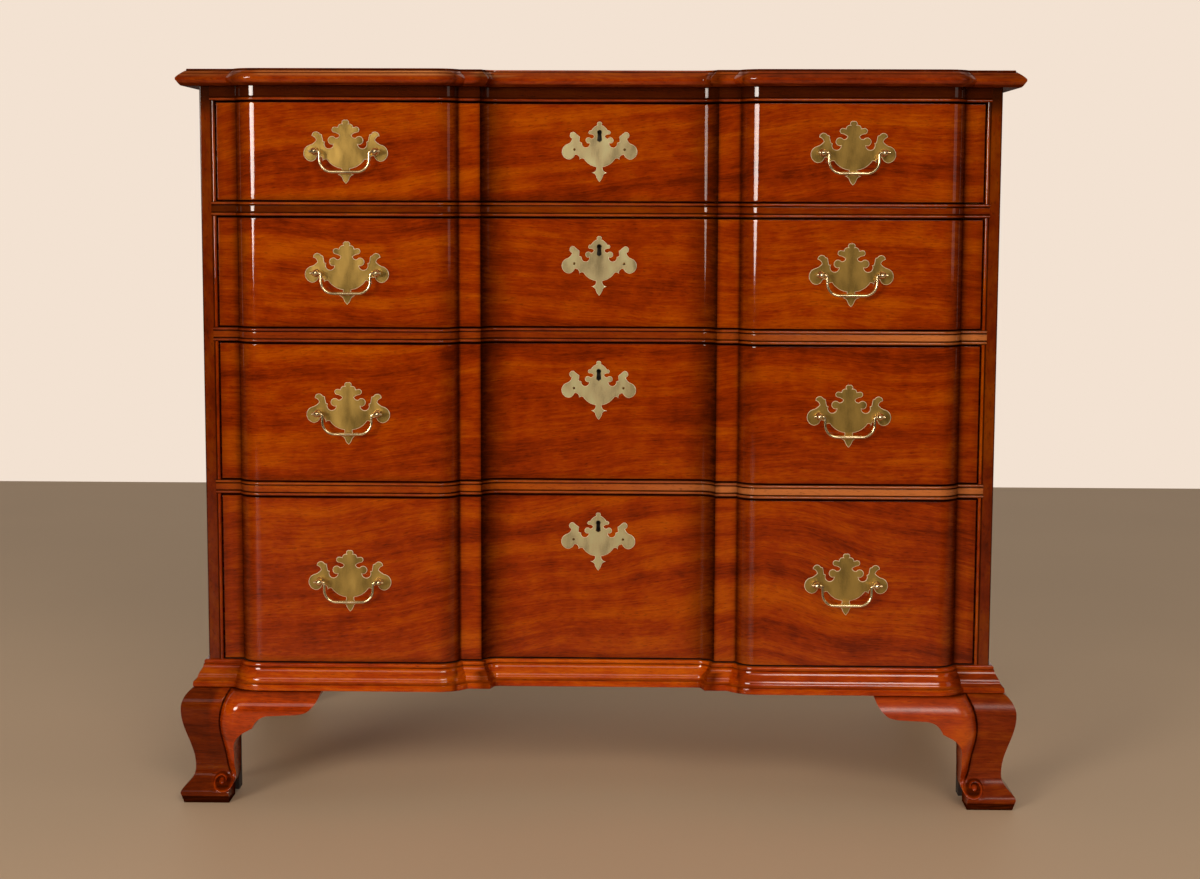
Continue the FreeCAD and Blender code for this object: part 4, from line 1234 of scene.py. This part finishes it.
def piece_tree(name, **sizes):
    """A node tree for metal pieces: add for it, and its inputs, with sizes of these defaults."""
    tree = bpy.data.node_groups.new(name, "GeometryNodeTree")
    face = tree.interface
    face.new_socket("Geometry", in_out="INPUT", socket_type="NodeSocketGeometry")
    for label, value in sizes.items():
        socket = face.new_socket(label.replace("_", " "), in_out="INPUT",
                                 socket_type="NodeSocketFloat")
        socket.default_value = value
        socket.subtype = "DISTANCE"
    face.new_socket("Metal", in_out="INPUT", socket_type="NodeSocketMaterial")
    face.new_socket("Geometry", in_out="OUTPUT", socket_type="NodeSocketGeometry")
    node = partial(add, tree)
    return tree, node, node("NodeGroupInput").outputs


def round_bar(node, path, width, sides):
    """A bar of this width along a path, with closed ends."""
    ring = node("GeometryNodeCurvePrimitiveCircle", {"Resolution": sides, "Radius": 1.0})
    return node("GeometryNodeCurveToMesh", {"Curve": path, "Profile Curve": ring,
                                            "Scale": width, "Fill Caps": True})


def close_tree(node, shape, metal):
    """End a tree with a plain mesh of this metal."""
    real = node("GeometryNodeRealizeInstances", (shape,))
    node("NodeGroupOutput", (node("GeometryNodeSetMaterial", {0: real, "Material": metal}),))


def turned_tree(name, profile):
    """A node tree that stands a turned piece on each point, its axis along +Y."""
    tree, node, given = piece_tree(name, Length=0.02, Radius=0.0045)
    tip = node("CombineXYZ", {1: given["Length"]})
    axis = node("GeometryNodeCurvePrimitiveLine", {"End": tip})
    axis = node("GeometryNodeResampleCurve", {"Curve": axis, "Count": 30})
    shape = node("FloatCurve", {"Value": node("GeometryNodeSplineParameter")})
    curve = shape.mapping.curves[0]
    curve.points[0].location = profile[0]
    curve.points[-1].location = profile[-1]
    for place in profile[1:-1]:
        curve.points.new(*place)
    shape.mapping.update()
    width = node("Math", (shape, given["Radius"]), operation="MULTIPLY")
    stood = node("GeometryNodeInstanceOnPoints", {
        "Points": given["Geometry"], "Instance": round_bar(node, axis, width, 28)})
    close_tree(node, stood, given["Metal"])
    return tree


def bail_tree():
    """A node tree that turns a line into a bail: round bar, swelling towards its middle."""
    tree, node, given = piece_tree("forged_bail", Radius=0.0015, Grip_radius=0.0022)
    path = node("GeometryNodeMeshToCurve", (given["Geometry"],))
    wave = node("Math", (node("GeometryNodeSplineParameter"), math.pi), operation="MULTIPLY")
    wave = node("Math", (wave,), operation="SINE")
    wave = node("Math", (wave, 20.0), operation="POWER")
    width = node("MapRange", (wave, 0.0, 1.0, given["Radius"], given["Grip radius"]))
    close_tree(node, round_bar(node, path, width, 20), given["Metal"])
    return tree


def run_tree(tree, points, finish, edges=(), **values):
    """The mesh that a node tree makes from points."""
    mesh = bpy.data.meshes.new("points")
    mesh.from_pydata(points, edges, [])
    source = new_object("points", mesh)
    grown = source.modifiers.new("grow", "NODES")
    grown.node_group = tree
    for item in tree.interface.items_tree:
        if item.in_out == "INPUT" and item.name in values:
            grown[item.identifier] = values[item.name]
        elif item.in_out == "INPUT" and item.name == "Metal":
            grown[item.identifier] = material_of(finish)
    work = bmesh.new()
    work.from_mesh(evaluated_mesh(source))
    bpy.data.objects.remove(source)
    bmesh.ops.remove_doubles(work, verts=work.verts, dist=MERGE)
    return work


def post_places(number):
    """Where the posts of a drawer's pulls stand: (x, z) of each."""
    work = from_node(f"drawer_{number}_pull_mounts")
    places = []
    for group in islands(work):
        place, width = middle([v.co for v in group])
        if width < POST_SPACE and min(v.co.y for v in group) < FRONT_Y:
            places.append(place)
    work.free()
    return sorted(places)


def posts_piece(number, tree):
    """The turned posts of a drawer's pulls, with their bolts."""
    node = f"drawer_{number}_pull_mounts"
    points = [(x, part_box(node)[0].y, z) for x, z in post_places(number)]
    work = run_tree(tree, points, "rubbed_brass", Length=POST_LENGTH, Radius=POST_RADIUS)
    hand_over(f"drawer_{number}_pull_posts", work, f"drawer_{number}", "brass", "rubbed_brass",
              node, smooth=40)


def nuts_piece(number):
    """The square nuts and bolt ends behind a drawer's front, with their corners eased."""
    node = f"drawer_{number}_pull_mounts"
    work = from_node(node)
    keep_solids(work, lambda low, high: high.x - low.x < POST_SPACE and low.y > FRONT_Y)
    ease(work, [edge for edge in creases(work, 60) if edge.calc_length() > 3 * MM], 0.5 * MM)
    bolts = from_node(node)
    keep_solids(bolts, lambda low, high: high.x - low.x < POST_SPACE and low.y < FRONT_Y)
    inside = FRONT_Y + 20 * MM
    bmesh.ops.bisect_plane(bolts, geom=bolts.verts[:] + bolts.edges[:] + bolts.faces[:],
                           plane_co=(0, inside, 0), plane_no=(0, -1, 0), clear_outer=True)
    bmesh.ops.holes_fill(bolts, edges=[e for e in bolts.edges if e.is_boundary])
    ends = bpy.data.meshes.new("bolt_ends")
    bolts.to_mesh(ends)
    bolts.free()
    work.from_mesh(ends)
    hand_over(f"drawer_{number}_pull_nuts", work, f"drawer_{number}", "brass", "rubbed_brass",
              node, smooth=30)


def bail_piece(number, hand, tree):
    """A bail: out of one post, down, along and up into the other."""
    node = f"drawer_{number}_bail_{hand}"
    low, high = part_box(node)
    sizes = bpy.context.scene.chest_sizes
    pivot = high.z - sizes.bail_radius
    pin = (high.x - low.x) / 2
    elbow = 2.5 * MM
    arm = pin - PIN_OVERRUN - 2 * BALL_RADIUS - elbow
    corner = 14.5 * MM
    foot = low.z + sizes.grip_radius
    right = [(pin, pivot)]
    right += [(arm + elbow * (1 - math.sin(a)), pivot - elbow * (1 - math.cos(a)))
              for a in (math.pi / 2 * i / 5 for i in range(6))]
    right += [(arm - corner * (1 - math.cos(a)), foot + corner * (1 - math.sin(a)))
              for a in (math.pi / 2 * i / 10 for i in range(11))]
    right += [((arm - corner) * step / 8, foot) for step in range(7, 0, -1)]
    line = right + [(0.0, foot)] + [(-x, z) for x, z in reversed(right)]
    points = [((low.x + high.x) / 2 + x, (low.y + high.y) / 2, z) for x, z in line]
    edges = [(i, i + 1) for i in range(len(points) - 1)]
    work = run_tree(tree, points, "rubbed_brass", edges, Radius=sizes.bail_radius,
                    **{"Grip radius": sizes.grip_radius})
    hand_over(f"drawer_{number}_pull_bail_{hand}", work, f"bail_{number}_{hand}", "brass",
              "rubbed_brass", node)


def nails_piece(number, tree):
    """The two domed nails of an escutcheon."""
    work = run_tree(tree, nail_heads(number), "browned_brass", Length=NAIL_LENGTH,
                    Radius=NAIL_RADIUS)
    hand_over(f"drawer_{number}_escutcheon_nails", work, f"drawer_{number}", "brass",
              "browned_brass", f"drawer_{number}_escutcheon")


# Operators

class CHEST_OT_case(bpy.types.Operator):
    """Finish the case: sides, rails, top and base mouldings."""
    bl_idname = "chest.case"
    bl_label = "Case"

    def execute(self, context):
        top_piece()
        # The top rail is painted dark as painted shadow under the top's overhang; the rails below
        # carry painted shade that eases towards the right, where more light falls
        rail_piece("top_rail", False, (0.90, 0.88, 0.90))
        for number, shades in ((1, (0.78, 0.42, 0.30)), (2, (0.16, 0.28, 0.0)),
                               (3, (0.14, 0.08, 0.0))):
            rail_piece(f"drawer_rail_{number}", True, shades)
        base_front_piece()
        for hand in HANDS:
            side_piece(hand)
            base_side_piece(hand)
        return {"FINISHED"}


class CHEST_OT_inside(bpy.types.Operator):
    """Finish the plain pieces inside the case and the drawers."""
    bl_idname = "chest.inside"
    bl_label = "Inside pieces"

    def execute(self, context):
        def of_drawers(*parts):
            return [f"drawer_{number}_{part}" for number in DRAWERS for part in parts]

        boards = ["case_bottom", "back_panel", "rear_rails", "dust_panels", "rear_foot_backs"]
        for names, finish in (
                (of_drawers("sides"), "planed_poplar_lengthwise"),
                (of_drawers("back", "bottom"), "planed_poplar_crosswise"),
                (boards, "stained_poplar_crosswise"),
                (["drawer_runners"], "stained_poplar_lengthwise"),
                (["foot_glue_blocks"], "stained_poplar_upright"),
                (["case_screws"] + of_drawers("lock"), "dull_steel")):
            for name in names:
                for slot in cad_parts[name].material_slots:
                    slot.material = material_of(finish)
        return {"FINISHED"}


class CHEST_OT_feet(bpy.types.Operator):
    """Carve the ogee bracket feet, with a block and a scroll on each front one."""
    bl_idname = "chest.feet"
    bl_label = "Feet"

    def execute(self, context):
        for hand in HANDS:
            foot_piece("front", hand, "face")
            foot_piece("front", hand, "flank")
            foot_piece("rear", hand, "flank")
        return {"FINISHED"}


class CHEST_OT_drawer_fronts(bpy.types.Operator):
    """Finish the four blocked drawer fronts."""
    bl_idname = "chest.drawer_fronts"
    bl_label = "Drawer fronts"

    def execute(self, context):
        for number in DRAWERS:
            drawer_front_piece(number)
        return {"FINISHED"}


class CHEST_OT_pulls(bpy.types.Operator):
    """Make the pulls: plates, turned posts, nuts and bails."""
    bl_idname = "chest.pulls"
    bl_label = "Pulls"

    def execute(self, context):
        posts = turned_tree("turned_post", POST_PROFILE)
        bails = bail_tree()
        for number in DRAWERS:
            plates_piece(number)
            posts_piece(number, posts)
            nuts_piece(number)
            for hand in HANDS:
                bail_piece(number, hand, bails)
        return {"FINISHED"}


class CHEST_OT_escutcheons(bpy.types.Operator):
    """Make the escutcheons and their nails."""
    bl_idname = "chest.escutcheons"
    bl_label = "Escutcheons"

    def execute(self, context):
        nails = turned_tree("domed_nail", ((0.0, 0.05), (0.02, 0.55), (0.06, 0.88), (0.11, 1.0),
                                           (0.13, 0.5), (1.0, 0.3)))
        for number in DRAWERS:
            escutcheon_piece(number)
            nails_piece(number, nails)
        return {"FINISHED"}


def softbox(name, place, aim, width, height, radiance, spread=180, shape="RECTANGLE"):
    """A flat lamp of a given radiance, turned towards aim and open by spread degrees."""
    lamp = bpy.data.lights.new(name, "AREA")
    lamp.shape = shape
    lamp.size = width
    lamp.size_y = height
    lamp.spread = math.radians(spread)
    lamp.energy = radiance * math.pi * width * height * (math.pi / 4 if shape == "ELLIPSE" else 1)
    if spread < 180:
        lamp.energy *= 1 - lamp.spread / 2 / math.tan(lamp.spread / 2)
    lamp.color = linear("#FFF4E8")[:3]
    made = new_object(name, lamp)
    made.location = place
    made.rotation_euler = (Vector(aim) - Vector(place)).to_track_quat("-Z", "Y").to_euler()
    return made


class CHEST_OT_stage(bpy.types.Operator):
    """Set the pale floor, the lamps, the world and the camera."""
    bl_idname = "chest.stage"
    bl_label = "Stage"

    def execute(self, context):
        scene = context.scene
        mesh = bpy.data.meshes.new("floor")
        corners = [(-7.0, -8.0, 0.0), (7.0, -8.0, 0.0), (7.0, 2.64, 0.0), (-7.0, 2.64, 0.0)]
        mesh.from_pydata(corners, [], [(0, 1, 2, 3)])
        floor = new_object("floor", mesh)
        floor.data.materials.append(material_of("pale_floor"))

        softbox("left_softbox", (-2.4, -4.2, 1.1), (0.0, 0.0, 0.5), 1.6, 1.3, 27.0, spread=80,
                shape="ELLIPSE")
        softbox("right_softbox", (1.3, -4.3, 2.7), (0.2, 0.0, 0.4), 1.7, 1.2, 8.5)
        softbox("right_screen", (3.2, -1.8, 1.3), (0.2, 0.0, 0.5), 1.0, 1.6, 0.9)
        softbox("front_fill", (-0.3, -4.6, 2.6), (0.0, 0.0, 0.5), 4.2, 1.3, 1.6)

        world = bpy.data.worlds.new("studio")
        scene.world = world
        world.use_nodes = True
        tree = world.node_tree
        tree.nodes.clear()
        node = partial(add, tree)
        # The camera, and metal that mirrors what lies behind the chest, see a pale wall. The
        # rest of the room is dim, and warm where it is mirrored.
        rays = node("LightPath").outputs
        look = node("TexCoord").outputs["Generated"]
        look, height = node("SeparateXYZ", (look,)).outputs[1:3]
        lowered = node("Math", (height, -0.55, look), operation="MULTIPLY_ADD")
        behind = node("Math", (lowered, 0.12), operation="GREATER_THAN")
        shiny = node("Math", (rays["Is Glossy Ray"], rays["Is Transmission Ray"]),
                     operation="MAXIMUM")
        mirrored = node("Math", (shiny, behind), operation="MULTIPLY")
        shown = node("Math", (rays["Is Camera Ray"], mirrored), operation="MAXIMUM")
        ceiling = node("MapRange", (height, 0.35, 0.75, 0.04, 0.28))
        dim = node("Mix", {0: shiny, 2: 0.26, 3: ceiling})
        cast = node("Mix", {0: shiny, MIX_A: linear("#F4EEE6"), MIX_B: linear("#FFC68E")},
                    data_type="RGBA")
        room = node("Background", (cast, dim))
        wall = node("Background", (linear("#F3E2D2"), 1.0))
        node("OutputWorld", (node("MixShader", (shown, room, wall)),))

        lens = bpy.data.cameras.new("camera")
        lens.lens = CAMERA_LENS
        lens.sensor_width = 36.0
        camera = new_object("camera", lens)
        stand = Matrix.Translation(CAMERA_PLACE)
        for angle, axis in ((-CAMERA_YAW, "Z"), (math.pi / 2 - CAMERA_DIP, "X"),
                            (-CAMERA_ROLL, "Z")):
            stand = stand @ Matrix.Rotation(angle, 4, axis)
        camera.matrix_world = stand
        scene.camera = camera
        scene.view_settings.view_transform = "Standard"
        return {"FINISHED"}


OPERATORS = (CHEST_OT_case, CHEST_OT_inside, CHEST_OT_feet, CHEST_OT_drawer_fronts,
             CHEST_OT_pulls, CHEST_OT_escutcheons, CHEST_OT_stage)


class CHEST_PT_sidebar(bpy.types.Panel):
    """Lists the steps that finish the chest, with their sizes and colours."""
    bl_idname = "CHEST_PT_sidebar"
    bl_label = "Block front chest"
    bl_space_type = "VIEW_3D"
    bl_region_type = "UI"
    bl_category = "Chest"

    def draw(self, context):
        for operator in OPERATORS:
            self.layout.operator(operator.bl_idname)
        for group in (context.scene.chest_sizes, context.scene.chest_colours):
            for name in group.__annotations__:
                self.layout.prop(group, name)


CLASSES = (ChestSizes, ChestColours) + OPERATORS + (CHEST_PT_sidebar,)


def register():
    for entry in CLASSES:
        bpy.utils.register_class(entry)
    bpy.types.Scene.chest_sizes = PointerProperty(type=ChestSizes)
    bpy.types.Scene.chest_colours = PointerProperty(type=ChestColours)


def unregister():
    del bpy.types.Scene.chest_colours
    del bpy.types.Scene.chest_sizes
    for entry in reversed(CLASSES):
        bpy.utils.unregister_class(entry)


def main():
    register()
    bpy.ops.chest.stage()
    bpy.ops.chest.case()
    bpy.ops.chest.inside()
    bpy.ops.chest.feet()
    bpy.ops.chest.drawer_fronts()
    bpy.ops.chest.pulls()
    bpy.ops.chest.escutcheons()


if __name__ == "__main__":
    main()
